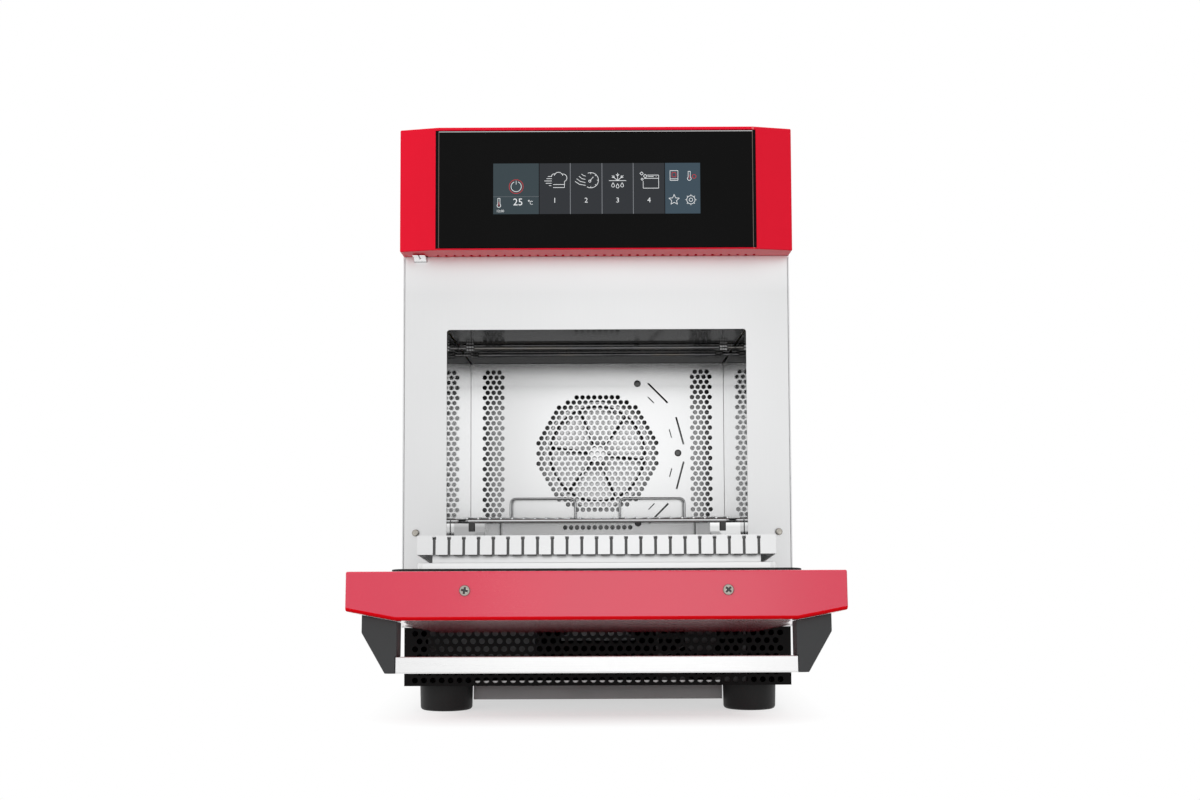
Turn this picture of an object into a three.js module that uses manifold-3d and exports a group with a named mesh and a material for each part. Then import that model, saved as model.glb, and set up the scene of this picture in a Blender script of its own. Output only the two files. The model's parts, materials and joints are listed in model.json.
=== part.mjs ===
// Countertop convection microwave oven with a drop-down door, drawn with its door open.
// Millimetres: X runs to the right, Y to the back and Z up. Y is zero on the stainless front sheet and
// Z is zero on the surface that the feet stand on. The door is drawn shut and then swung open on its hinge.
import * as THREE from 'three';
import { mergeVertices } from 'three/addons/utils/BufferGeometryUtils.js';
import Module from 'manifold-3d';

// Cabinet
const bodyWidth = 400;
const bodyDepth = 560;
const bodyHeight = 594.5;
const sheet = 1.5;
// Room between pieces that touch, room around pieces that move, and how far a cut runs past a face.
const gap = 0.3;
const runningGap = 1;
const overrun = 2;

// Base and feet
const footHeight = 27;
const footRadius = 27;
const footRounding = 4;
const footInsetX = 42.3;
const footInsetY = 42;
const baseHeight = 59;
const baseInset = 2.5;
const baseRecess = 3;

// Hood with its control panel
const hoodHeight = 125.9;
const hoodSideReach = 31.3;
const hoodFrontReach = 43;
const hoodSeatDepth = 6;
const facetWidth = 40;
const glassThickness = 4;
const glassLowerLip = 1.4;
const glassUpperLip = 4.3;
const displayWidth = 223;
const displayHeight = 59.4;
const displayRise = 31;
const displayDepth = 11.7;
const windowMargin = 0.5;
const boardMargin = 10;

// Cavity
const cavityWidth = 309.4;
const machineRoom = 239.1;
const cavityFloorHeight = 165;
const openingHeight = 227.3;
const openingCorner = 3;
const ceilingFall = 4.4;
const insulationThickness = 25;
const ceramicThickness = 5;
const ceramicMarginX = 8;
const ceramicMarginY = 55;

// Rack and the channels that carry it
const rackHeight = 30;
const rackFront = 40;
const rackBack = 20;
const rackEarLength = 10;
const rackWallGap = 0.7;
const rackBarRadius = 2;
const rackWireRadius = 1.3;
const rackWirePitch = 11.9;
const rackLoopInner = 27;
const rackLoopOuter = 105;
const rackLoopHeight = 27;
const rackLoopCorner = 6;
const rackHookWidth = 8;
const rackHookDrop = 11;
const rackHookThickness = 2;
const rackHookPlace = 132;
const channelWidth = 36;
const channelSetback = 5;

// Heating elements
const elementRadius = 2.3;
const elementFirst = 137.5;
const elementSpacing = 66;
const elementDrop = 2.7;
const ringTubeRadius = 3.25;
const ringHeaterRadius = 82;

// Convection fan, its housing and its motor
const fanHeight = 112.5;
const fanRadius = 66;
const fanDepth = 30;
const fanBladeCount = 6;
const fanBladeThickness = 2;
const fanHubRadius = 14;
const fanShaftRadius = 4;
const fanShaftEntry = 15;
const fanSetback = 12;
const plenumDepth = 77;
const plenumMargin = 5;
const motorRadius = 42;
const motorLength = 80;

// Microwave feed below the cavity floor
const waveguideWidth = 96;
const waveguideHeight = 31;
const waveguideLead = 60;
const waveguideLength = 290;
const stirrerRadius = 56;
const stirrerWellWall = 2;
const stirrerWellDepth = 14;
const stirrerBackRoom = 150.9;
const stirrerBladeCount = 3;
const stirrerBladeWidth = 24;
const stirrerBladeThickness = 1.6;
const stirrerHubRadius = 9;
const stirrerShaftRadius = 3;
const stirrerShaftEntry = 10;
const stirrerMotorRadius = 25;
const stirrerMotorHeight = 20;
const magnetronWidth = 90;
const magnetronDepth = 76;
const magnetronHeight = 68;
const magnetronFinCount = 6;
const magnetronFinDepth = 8;
const antennaRadius = 9;
const antennaHeight = 14;

// Power supply and cooling fan in the base
const supplyWidth = 118;
const supplyDepth = 170;
const supplyHeight = 52;
const supplyFront = 120;
const supplySideGap = 10;
const coolingSize = 92;
const coolingDepth = 25;
const coolingInset = 94;
const coolingSetback = 3;
const coolingWall = 2.5;
const coolingHubRadius = 17;
const coolingBladeCount = 7;
const coolingBladeThickness = 1.6;
const coolingArmWidth = 6;
const coolingArmThickness = 3;

// Rear panel: louvres and the inlet of the power cord
const louvreWidth = 70;
const louvreHeight = 4;
const louvrePitch = 12;
const louvreCount = 9;
const louvreTop = 60;
const louvreSpread = 160;
const glandRadius = 10;
const glandNutRadius = 14;
const glandLength = 18;
const glandNutLength = 7;
const glandInsetX = 50;
const glandRise = 26;

// Air filter that slides out between the front feet
const filterSetback = 42;
const filterLength = 353;
const filterBottom = 11.5;
const filterPadThickness = 13.5;
const filterFlangeWidth = 9;
const filterFlangeThickness = 1.5;
const filterFlangeRise = 2.3;
const filterPlateHeight = 16.5;
const filterPlateDrop = 2;
const filterFootGap = 1.2;
const railFront = 75;

// Door, closed
const doorStandoff = 6;
const doorThickness = 39;
const doorRise = 13.4;
const doorTopGap = 3.1;
const doorBevel = 7.6;
const hingeReach = 20;
const hingeRise = 8;
const doorOpening = 84.75;
const gasketMargin = 20;
const gasketWidth = 18;
const gasketCorner = 12;

// Choke comb round the inner face of the door
const linerRise = 12;
const combHeight = 23;
const combWallGap = 2.7;
const combEndGap = 5.3;
const combFlange = 12;
const combPitch = 12.5;
const combSlot = 2.4;
const combFingerGap = 6.8;
const combSlotTop = 2;

// Handle
const handleHeight = 28;
const handleInset = 7;
const handleReach = 41.5;
const handleBarThickness = 13.2;
const handleBarRounding = 1.2;
const handleBarEntry = 1;
const bracketInset = 40.8;
const bracketFoot = 28.3;
const bracketNose = 9.4;
const bracketShoulder = 9.2;

// Hinges
const hingeInset = 36;
const hingeArmThickness = 7.5;
const hingeArmRadius = 7.5;
const hingeArmInside = 38;
const hingePinRadius = 4;
const hingePinEnd = 2;
const strapThickness = 4.5;
const strapHeight = 48;
const strapDepth = 26;

// Small pieces on the front sheet and on the edge of the door
const bumperRadius = 3.5;
const bumperLength = 5.3;
const bumperRounding = 1;
const bumperInset = 14;
const bumperRise = 18;
const plungerWidth = 13;
const plungerHeight = 4;
const plungerDrop = 1.4;
const plungerInset = 17.9;
const plungerReach = 5.6;
const plungerTravel = 3;
const plungerStem = 6;
const plungerHeadBelow = 4.1;
const plungerHeadAbove = 3.9;
const plungerHeadDepth = 2.3;
const switchWidth = 20;
const switchDepth = 14;
const switchHeight = 10;
const screwHeadRadius = 4.5;
const screwHeadHeight = 1.9;
const screwShankRadius = 2;
const screwLength = 8;
const screwPlace = 105;
const screwDepth = 15.5;

// Facets of round shapes
const roundSides = 24;
const fineSides = 40;
const wireSides = 6;
const barSides = 8;
const cornerSteps = 3;
const wireSteps = 20;

// Heights and planes that several pieces share
const panBottom = footHeight + gap;
const baseTop = panBottom + baseHeight;
const cabinetBottom = baseTop + gap;
const hoodBottom = bodyHeight - hoodHeight;
const openingTop = cavityFloorHeight + openingHeight;
const halfBody = bodyWidth / 2;
const halfCavity = cavityWidth / 2;
const behindFascia = sheet + gap;
const cavityDepth = bodyDepth - machineRoom;
const cavityBack = cavityDepth;
const fanZ = cavityFloorHeight + fanHeight;
const rackZ = cavityFloorHeight + rackHeight;
const doorBottom = cabinetBottom + doorRise;
const doorTop = hoodBottom - doorTopGap;
const doorFace = -doorStandoff - doorThickness;
const hingeZ = doorBottom + hingeRise;
const hingePlace = halfBody - hingeInset;
const bracketInner = halfBody - bracketInset;
const coolingPlace = halfBody - coolingInset;
const stirrerPlace = cavityDepth - stirrerBackRoom;
const waveguideFront = stirrerPlace - waveguideLead;
const combTop = openingTop - combEndGap;
const combBottom = cavityFloorHeight + combEndGap;
const halfComb = halfCavity - combWallGap;
const linerFace = linerRise - doorStandoff;
const combFace = linerFace + combHeight;
const wellBottom = cavityFloorHeight - sheet - gap - stirrerWellDepth;
const waveguideBottom = wellBottom - waveguideHeight;
const sides = [['left', -1], ['right', 1]];

const wasm = await Module();
wasm.setup();

// Finishes
function finish(color, roughness, metalness) {
  return new THREE.MeshStandardMaterial({ color, roughness, metalness });
}

const redPaint = finish('#de1426', 0.3, 0.2);
const brushedSteel = finish('#d9dadb', 0.35, 0.9);
const cavitySteel = finish('#c9cacb', 0.25, 0.95);
const blackPaint = finish('#161616', 0.55, 0.2);
const blackGlass = finish('#101010', 0.08, 0.1);
const blackPlastic = finish('#2f3031', 0.6, 0);
const blackRubber = finish('#262626', 0.8, 0);
const greySteel = finish('#6b6c6d', 0.5, 0.6);
const wireSteel = finish('#d2d3d4', 0.2, 1);
const heaterSteel = finish('#8b8c8e', 0.4, 0.8);
const whiteCeramic = finish('#e9e6df', 0.4, 0);
const mineralWool = finish('#d8d2bf', 0.95, 0);
const greenBoard = finish('#1f5a35', 0.6, 0.1);
const darkDisplay = finish('#1d2226', 0.3, 0);

// Solids: cutting and joining

function solidOf(geometry) {
  const bare = geometry.clone();
  bare.deleteAttribute('normal');
  bare.deleteAttribute('uv');
  const merged = mergeVertices(bare);
  const vertProperties = new Float32Array(merged.attributes.position.array);
  const triVerts = new Uint32Array(merged.index.array);
  return new wasm.Manifold(new wasm.Mesh({ numProp: 3, vertProperties, triVerts }));
}

function geometryOf(solid) {
  const mesh = solid.getMesh();
  const geometry = new THREE.BufferGeometry();
  geometry.setAttribute('position', new THREE.BufferAttribute(new Float32Array(mesh.vertProperties), 3));
  geometry.setIndex(new THREE.BufferAttribute(new Uint32Array(mesh.triVerts), 1));
  geometry.computeVertexNormals();
  return geometry;
}

function join(...geometries) {
  return geometryOf(geometries.map(solidOf).reduce((whole, piece) => whole.add(piece)));
}

function cut(geometry, ...tools) {
  return geometryOf(tools.map(solidOf).reduce((whole, tool) => whole.subtract(tool), solidOf(geometry)));
}

// Shapes

function block([x0, x1], [y0, y1], [z0, z1]) {
  const geometry = new THREE.BoxGeometry(x1 - x0, y1 - y0, z1 - z0);
  return geometry.translate((x0 + x1) / 2, (y0 + y1) / 2, (z0 + z1) / 2);
}

function outline(points) {
  return new THREE.Shape(points.map(([u, v]) => new THREE.Vector2(u, v)));
}

function roundedRectangle([u0, u1], [v0, v1], radius) {
  const shape = new THREE.Shape();
  shape.absarc(u1 - radius, v0 + radius, radius, -Math.PI / 2, 0);
  shape.absarc(u1 - radius, v1 - radius, radius, 0, Math.PI / 2);
  shape.absarc(u0 + radius, v1 - radius, radius, Math.PI / 2, Math.PI);
  shape.absarc(u0 + radius, v0 + radius, radius, Math.PI, 1.5 * Math.PI);
  shape.closePath();
  return shape;
}

function extruded(shape, depth) {
  return new THREE.ExtrudeGeometry(shape, { depth, bevelEnabled: false, curveSegments: cornerSteps });
}

// A shape drawn in Y and Z that runs along X.
function alongX(shape, [x0, x1]) {
  const turn = new THREE.Matrix4().makeBasis(
    new THREE.Vector3(0, 1, 0),
    new THREE.Vector3(0, 0, 1),
    new THREE.Vector3(1, 0, 0),
  );
  return extruded(shape, x1 - x0).applyMatrix4(turn).translate(x0, 0, 0);
}

// A shape drawn in X and Z that runs along Y.
function alongY(shape, [y0, y1]) {
  return extruded(shape, y1 - y0).rotateX(Math.PI / 2).translate(0, y1, 0);
}

// A shape drawn in X and Y that runs along Z.
function alongZ(shape, [z0, z1]) {
  return extruded(shape, z1 - z0).translate(0, 0, z0);
}

function rodX([x0, x1], y, z, radius, facets = roundSides) {
  const rod = new THREE.CylinderGeometry(radius, radius, x1 - x0, facets);
  return rod.rotateZ(-Math.PI / 2).translate((x0 + x1) / 2, y, z);
}

function rodY([y0, y1], x, z, radius, facets = roundSides) {
  const rod = new THREE.CylinderGeometry(radius, radius, y1 - y0, facets);
  return rod.translate(x, (y0 + y1) / 2, z);
}

function rodZ([z0, z1], x, y, radius, facets = roundSides) {
  const rod = new THREE.CylinderGeometry(radius, radius, z1 - z0, facets);
  return rod.rotateX(Math.PI / 2).translate(x, y, (z0 + z1) / 2);
}

// A round section along straight runs, with a rounded corner where two runs meet.
function bentRod(points, radius, corner) {
  const stops = points.map((point) => new THREE.Vector3(...point));
  const path = new THREE.CurvePath();
  let from = stops[0];
  for (let i = 1; i < stops.length - 1; i += 1) {
    const before = stops[i].clone().lerp(stops[i - 1], corner / stops[i].distanceTo(stops[i - 1]));
    const after = stops[i].clone().lerp(stops[i + 1], corner / stops[i].distanceTo(stops[i + 1]));
    path.add(new THREE.LineCurve3(from, before));
    path.add(new THREE.QuadraticBezierCurve3(before, stops[i], after));
    from = after;
  }
  path.add(new THREE.LineCurve3(from, stops[stops.length - 1]));
  const section = new THREE.Shape().absarc(0, 0, radius, 0, 2 * Math.PI);
  const settings = { steps: wireSteps, extrudePath: path, curveSegments: wireSides / 2, bevelEnabled: false };
  return new THREE.ExtrudeGeometry(section, settings);
}

// A profile of radius and height points, turned round Z.
function turned(points) {
  const profile = points.map(([radius, z]) => new THREE.Vector2(radius, z));
  return new THREE.LatheGeometry(profile, roundSides).rotateX(Math.PI / 2);
}

// A span or an outline that is given for the right side, as it lies on the side asked for.
function mirroredPlace([low, high], side) {
  return side > 0 ? [low, high] : [-high, -low];
}

function mirroredOutline(points, side) {
  return outline(points.map(([x, y]) => [side * x, y]));
}

// The tree of the oven: what turns or slides is a group of its own inside the oven.
const oven = new THREE.Group();

function place(name, geometry, material, parent = oven) {
  const mesh = new THREE.Mesh(geometry, material);
  mesh.name = name;
  parent.add(mesh);
  return mesh;
}

// Base: feet, pan and front grille
function addBase() {
  const footX = halfBody - footInsetX;
  for (const [depthName, y] of [['front', footInsetY], ['rear', bodyDepth - footInsetY]]) {
    for (const [name, side] of sides) {
      const foot = turned([
        [0, 0],
        [footRadius - footRounding, 0],
        [footRadius - footRounding / 4, footRounding],
        [footRadius, footHeight],
        [0, footHeight],
      ]);
      place(`foot_${depthName}_${name}`, foot, blackRubber).position.set(side * footX, y, 0);
    }
  }
  const halfBase = halfBody - baseInset;
  const panFront = baseRecess + sheet + gap;
  const panBack = bodyDepth - sheet;
  const pan = block([-halfBase, halfBase], [panFront, panBack], [panBottom, baseTop]);
  const hollow = block(
    [-halfBase + sheet, halfBase - sheet],
    [panFront - overrun, panBack - sheet],
    [panBottom + sheet, baseTop + overrun],
  );
  place('base_pan', cut(pan, hollow), blackPaint);
  const grille = block([-halfBase, halfBase], [baseRecess, baseRecess + sheet], [panBottom, baseTop]);
  place('base_grille', grille, blackPaint);
}

// Air filter on two rails under the pan
const filterTray = new THREE.Group();

function addFilter() {
  const plateHalf = halfBody - footInsetX - footRadius - filterFootGap;
  const flangeHalf = plateHalf - runningGap;
  const padHalf = flangeHalf - filterFlangeWidth;
  const flangeZ = filterBottom + filterFlangeRise;
  const plateBottom = filterBottom - filterPlateDrop;
  const padFront = filterSetback + sheet;
  const padBack = filterSetback + filterLength;
  const tray = join(
    block([-plateHalf, plateHalf], [filterSetback, padFront], [plateBottom, plateBottom + filterPlateHeight]),
    block([-padHalf, padHalf], [filterSetback, padBack], [filterBottom, filterBottom + filterPadThickness]),
    block([-flangeHalf, flangeHalf], [railFront, padBack], [flangeZ, flangeZ + filterFlangeThickness]),
  );
  place('filter_tray', tray, greySteel, filterTray);
  oven.add(filterTray);
  const lipTop = flangeZ - gap;
  const webInner = flangeHalf + runningGap;
  for (const [name, side] of sides) {
    const web = block(
      mirroredPlace([webInner, webInner + sheet], side),
      [railFront, padBack],
      [lipTop - sheet, footHeight],
    );
    const lip = block(
      mirroredPlace([padHalf + runningGap, webInner + sheet], side),
      [railFront, padBack],
      [lipTop - sheet, lipTop],
    );
    place(`filter_rail_${name}`, join(web, lip), greySteel);
  }
}

// Cabinet: side panels, rear panel and top cover
function addCabinet() {
  const panelTop = bodyHeight - sheet - gap;
  for (const [name, side] of sides) {
    const panel = block(
      mirroredPlace([halfBody - sheet, halfBody], side),
      [behindFascia, bodyDepth],
      [cabinetBottom, panelTop],
    );
    place(`side_panel_${name}`, panel, brushedSteel);
  }
  const cover = block([-halfBody, halfBody], [behindFascia, bodyDepth], [bodyHeight - sheet, bodyHeight]);
  place('top_cover', cover, brushedSteel);

  const rearHalf = halfBody - sheet - gap;
  const rearPanel = block([-rearHalf, rearHalf], [bodyDepth - sheet, bodyDepth], [cabinetBottom, panelTop]);
  const through = [bodyDepth - sheet - overrun, bodyDepth + overrun];
  const cuts = [];
  for (let row = 0; row < louvreCount; row += 1) {
    const z = bodyHeight - louvreTop - row * louvrePitch;
    for (const [, side] of sides) {
      const middle = (side * louvreSpread) / 2;
      cuts.push(block([middle - louvreWidth / 2, middle + louvreWidth / 2], through, [z - louvreHeight, z]));
    }
  }
  const glandX = -(halfBody - glandInsetX);
  const glandZ = cabinetBottom + glandRise;
  cuts.push(rodY(through, glandX, glandZ, glandRadius + gap));
  place('rear_panel', cut(rearPanel, ...cuts), brushedSteel);

  const gland = join(
    rodY([bodyDepth - sheet - glandNutLength, bodyDepth + glandLength], glandX, glandZ, glandRadius),
    rodY([bodyDepth + gap, bodyDepth + gap + glandNutLength], glandX, glandZ, glandNutRadius, wireSides),
  );
  place('cord_gland', cut(gland, glandBore(glandX, glandZ)), blackPlastic);
}

function glandBore(x, z) {
  const bore = glandRadius - 2 * overrun;
  return rodY([bodyDepth - sheet - glandNutLength - overrun, bodyDepth + glandLength + overrun], x, z, bore);
}

// Front sheet with the cavity opening and the slots for the hinge arms and the door switch
function addFascia() {
  const fasciaTop = hoodBottom - gap;
  const through = [-overrun, sheet + overrun];
  const frame = alongY(outline([
    [-halfBody, cabinetBottom],
    [halfBody, cabinetBottom],
    [halfBody, fasciaTop],
    [-halfBody, fasciaTop],
  ]), [0, sheet]);
  const opening = roundedRectangle([-halfCavity, halfCavity], [cavityFloorHeight, openingTop], openingCorner);
  const cuts = [alongY(opening, through)];
  for (const [, side] of sides) {
    const arm = hingePlace + hingeArmThickness / 2 + gap;
    cuts.push(block(
      mirroredPlace([hingePlace - hingeArmThickness / 2 - gap, arm], side),
      through,
      [hingeZ - hingeArmRadius - gap, hingeZ + hingeArmRadius + gap],
    ));
  }
  cuts.push(switchBlock(gap, -overrun, sheet + overrun));
  place('front_fascia', cut(frame, ...cuts), brushedSteel);
}

// Hood: folded red shell with a notch over the plunger, glass panel, display and board
function addHood() {
  const shell = alongZ(outline([
    [-halfBody, sheet],
    [-halfBody, -hoodSideReach],
    [-halfBody + facetWidth, -hoodFrontReach],
    [halfBody - facetWidth, -hoodFrontReach],
    [halfBody, -hoodSideReach],
    [halfBody, sheet],
  ]), [hoodBottom, bodyHeight]);
  const innerHalf = halfBody - sheet;
  const seatBack = -hoodFrontReach + hoodSeatDepth;
  const hollow = alongZ(outline([
    [-innerHalf, sheet + overrun],
    [-innerHalf, -hoodSideReach + sheet],
    [-halfBody + facetWidth, seatBack],
    [halfBody - facetWidth, seatBack],
    [innerHalf, -hoodSideReach + sheet],
    [innerHalf, sheet + overrun],
  ]), [hoodBottom + sheet, bodyHeight - sheet]);
  const pocketHalf = halfBody - facetWidth - gap;
  const glassZ = [hoodBottom + glassLowerLip + gap, bodyHeight - glassUpperLip - gap];
  const pocket = block(
    [-pocketHalf, pocketHalf],
    [-hoodFrontReach - overrun, -hoodFrontReach + glassThickness + gap],
    [glassZ[0] - gap, glassZ[1] + gap],
  );
  const displayZ = [hoodBottom + displayRise, hoodBottom + displayRise + displayHeight];
  const windowHalf = displayWidth / 2 + windowMargin;
  const window = block(
    [-windowHalf, windowHalf],
    [-hoodFrontReach, seatBack + overrun],
    [displayZ[0] - windowMargin, displayZ[1] + windowMargin],
  );
  const notch = plungerHead(runningGap, -plungerReach - runningGap, sheet);
  place('hood_shell', cut(shell, hollow, pocket, window, notch), redPaint);

  const glassHalf = pocketHalf - gap;
  const glassBack = -hoodFrontReach + glassThickness;
  const glass = block([-glassHalf, glassHalf], [-hoodFrontReach, glassBack], glassZ);
  place('control_glass', glass, blackGlass);
  const displayBack = glassBack + gap + displayDepth;
  const display = block([-displayWidth / 2, displayWidth / 2], [glassBack + gap, displayBack], displayZ);
  place('display_module', display, darkDisplay);
  const boardHalf = displayWidth / 2 + boardMargin;
  const board = block(
    [-boardHalf, boardHalf],
    [displayBack + gap, displayBack + gap + sheet],
    [displayZ[0] - boardMargin, displayZ[1] + boardMargin],
  );
  place('control_board', board, greenBoard);
}

// Cavity: five walls round the opening, the ceramic floor plate and the insulation on top
function addCavity() {
  const front = behindFascia;
  const innerBack = cavityBack;
  const outerBack = cavityBack + sheet;
  const rearTop = openingTop - ceilingFall;
  const wall = outline([
    [front, cavityFloorHeight - sheet],
    [outerBack, cavityFloorHeight - sheet],
    [outerBack, rearTop + sheet],
    [front, openingTop + sheet],
  ]);
  for (const [name, side] of sides) {
    const span = mirroredPlace([halfCavity, halfCavity + sheet], side);
    place(`cavity_wall_${name}`, alongX(wall, span), cavitySteel);
  }
  const between = halfCavity - gap;
  const ceiling = outline([
    [front, openingTop],
    [outerBack, rearTop],
    [outerBack, rearTop + sheet],
    [front, openingTop + sheet],
  ]);
  place('cavity_ceiling', alongX(ceiling, [-between, between]), cavitySteel);
  const floorZ = [cavityFloorHeight - sheet, cavityFloorHeight];
  const floor = cut(
    block([-between, between], [front, outerBack], floorZ),
    rodZ([floorZ[0] - overrun, floorZ[1] + overrun], 0, stirrerPlace, stirrerRadius + 2 * runningGap, fineSides),
  );
  place('cavity_floor', floor, cavitySteel);
  const rearWall = block([-between, between], [innerBack, outerBack], [cavityFloorHeight + gap, rearTop - gap]);
  const shaftHole = rodY([innerBack - overrun, outerBack + overrun], 0, fanZ, fanShaftRadius + runningGap);
  place('cavity_rear_wall', cut(rearWall, shaftHole), cavitySteel);

  const ceramicHalf = halfCavity - gap - channelWidth - ceramicMarginX;
  const ceramicZ = [cavityFloorHeight + gap, cavityFloorHeight + gap + ceramicThickness];
  const ceramic = block(
    [-ceramicHalf, ceramicHalf],
    [ceramicMarginY, cavityDepth - ceramicMarginY],
    ceramicZ,
  );
  place('ceramic_plate', ceramic, whiteCeramic);
  const woolBottom = openingTop + sheet + gap;
  const wool = block([-halfCavity, halfCavity], [front + sheet, cavityBack], [woolBottom, woolBottom + insulationThickness]);
  place('insulation_top', wool, mineralWool);
}

// Wire rack with two upright loops at its back, resting on a channel at each side
const rack = new THREE.Group();

function addRack() {
  const earEnd = halfCavity - rackWallGap;
  const frameHalf = earEnd - rackEarLength;
  const back = cavityDepth - rackBack;
  const bar = rackBarRadius;
  const pieces = [
    rodX([-frameHalf - bar, frameHalf + bar], rackFront, rackZ, bar, barSides),
    rodX([-frameHalf - bar, frameHalf + bar], back, rackZ, bar, barSides),
    rodX([-frameHalf, frameHalf], (rackFront + back) / 2, rackZ, bar, barSides),
  ];
  const wireZ = rackZ + bar + rackWireRadius / 2;
  const wireCount = Math.floor((2 * frameHalf) / rackWirePitch);
  for (let i = 0; i < wireCount; i += 1) {
    const x = (i - (wireCount - 1) / 2) * rackWirePitch;
    pieces.push(rodY([rackFront - bar / 2, back + bar / 2], x, wireZ, rackWireRadius, wireSides));
  }
  for (const [, side] of sides) {
    pieces.push(rodY([rackFront, back], side * frameHalf, rackZ, bar, barSides));
    for (const y of [rackFront + rackEarLength, back - rackEarLength]) {
      pieces.push(rodX(mirroredPlace([frameHalf, earEnd], side), y, rackZ, bar, barSides));
    }
    const hook = [rackHookPlace - rackHookWidth / 2, rackHookPlace + rackHookWidth / 2];
    pieces.push(block(
      mirroredPlace(hook, side),
      [rackFront - rackHookThickness / 2, rackFront + rackHookThickness / 2],
      [rackZ - rackHookDrop, rackZ],
    ));
    pieces.push(bentRod([
      [side * rackLoopInner, back, rackZ],
      [side * rackLoopInner, back, rackZ + rackLoopHeight],
      [side * rackLoopOuter, back, rackZ + rackLoopHeight],
      [side * rackLoopOuter, back, rackZ],
    ], rackWireRadius, rackLoopCorner));
  }
  place('oven_rack', join(...pieces), wireSteel, rack);
  oven.add(rack);
  addChannels(back);
}

function addChannels(back) {
  const top = rackZ - rackBarRadius - gap;
  const front = rackFront + channelSetback;
  const outer = halfCavity - gap;
  const inner = outer - channelWidth;
  const bottom = cavityFloorHeight + gap;
  for (const [name, side] of sides) {
    const channel = join(
      block(mirroredPlace([inner, outer], side), [front, back], [top - sheet, top]),
      block(mirroredPlace([inner, inner + sheet], side), [front, back], [bottom, top]),
      block(mirroredPlace([inner, outer], side), [front, front + sheet], [bottom, top]),
    );
    place(`rack_channel_${name}`, channel, cavitySteel);
  }
}

// Two straight tubular grill elements under the ceiling, from side wall to side wall
function addElements() {
  const end = halfCavity - gap;
  for (const [name, y] of [['front', elementFirst], ['rear', elementFirst + elementSpacing]]) {
    const ceilingZ = openingTop - (ceilingFall * y) / cavityDepth;
    const element = rodX([-end, end], y, ceilingZ - elementDrop, elementRadius);
    place(`grill_element_${name}`, element, heaterSteel);
  }
}

// Convection fan behind the rear wall, with its housing, ring heater and motor
const convectionFan = new THREE.Group();

function addConvection() {
  const housingFront = cavityBack + sheet + gap;
  const housingBack = housingFront + plenumDepth;
  const housingHalf = halfCavity - plenumMargin;
  const housingZ = [cavityFloorHeight + plenumMargin, openingTop - ceilingFall - plenumMargin];
  const shell = block([-housingHalf, housingHalf], [housingFront, housingBack], housingZ);
  const hollow = block(
    [-housingHalf + sheet, housingHalf - sheet],
    [housingFront - overrun, housingBack - sheet],
    [housingZ[0] + sheet, housingZ[1] - sheet],
  );
  const shaftHole = rodY([housingFront, housingBack + overrun], 0, fanZ, fanShaftRadius + runningGap);
  place('plenum_housing', cut(shell, hollow, shaftHole), greySteel);

  const fanFront = housingFront + fanSetback;
  const fanBack = fanFront + fanDepth;
  const pieces = [
    rodY([fanFront, fanBack], 0, 0, fanHubRadius),
    rodY([fanBack - sheet, fanBack], 0, 0, fanRadius, fineSides),
    rodY([fanFront, housingBack + fanShaftEntry], 0, 0, fanShaftRadius),
  ];
  for (let i = 0; i < fanBladeCount; i += 1) {
    const blade = block(
      [0, fanRadius - fanBladeThickness],
      [fanFront, fanBack],
      [-fanBladeThickness / 2, fanBladeThickness / 2],
    );
    pieces.push(blade.rotateY((i * 2 * Math.PI) / fanBladeCount));
  }
  place('convection_fan', join(...pieces), brushedSteel, convectionFan);
  convectionFan.position.z = fanZ;
  oven.add(convectionFan);

  const ringY = (fanFront + fanBack) / 2;
  const ring = new THREE.TorusGeometry(ringHeaterRadius, ringTubeRadius, wireSides, fineSides);
  const legs = [-1, 1].map((side) => rodY(
    [ringY, housingBack - sheet - gap],
    side * ringTubeRadius * 3,
    fanZ + Math.sqrt(ringHeaterRadius ** 2 - (ringTubeRadius * 3) ** 2),
    ringTubeRadius,
    wireSides,
  ));
  place('ring_heater', join(ring.rotateX(Math.PI / 2).translate(0, ringY, fanZ), ...legs), heaterSteel);

  const motorFront = housingBack + gap;
  const motor = cut(
    rodY([motorFront, motorFront + motorLength], 0, fanZ, motorRadius),
    rodY([motorFront - overrun, motorFront + fanShaftEntry + runningGap], 0, fanZ, fanShaftRadius + gap),
  );
  place('fan_motor', motor, greySteel);
}

// Waveguide under the floor, with the mode stirrer in its well, the stirrer motor and the magnetron
const modeStirrer = new THREE.Group();

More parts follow.
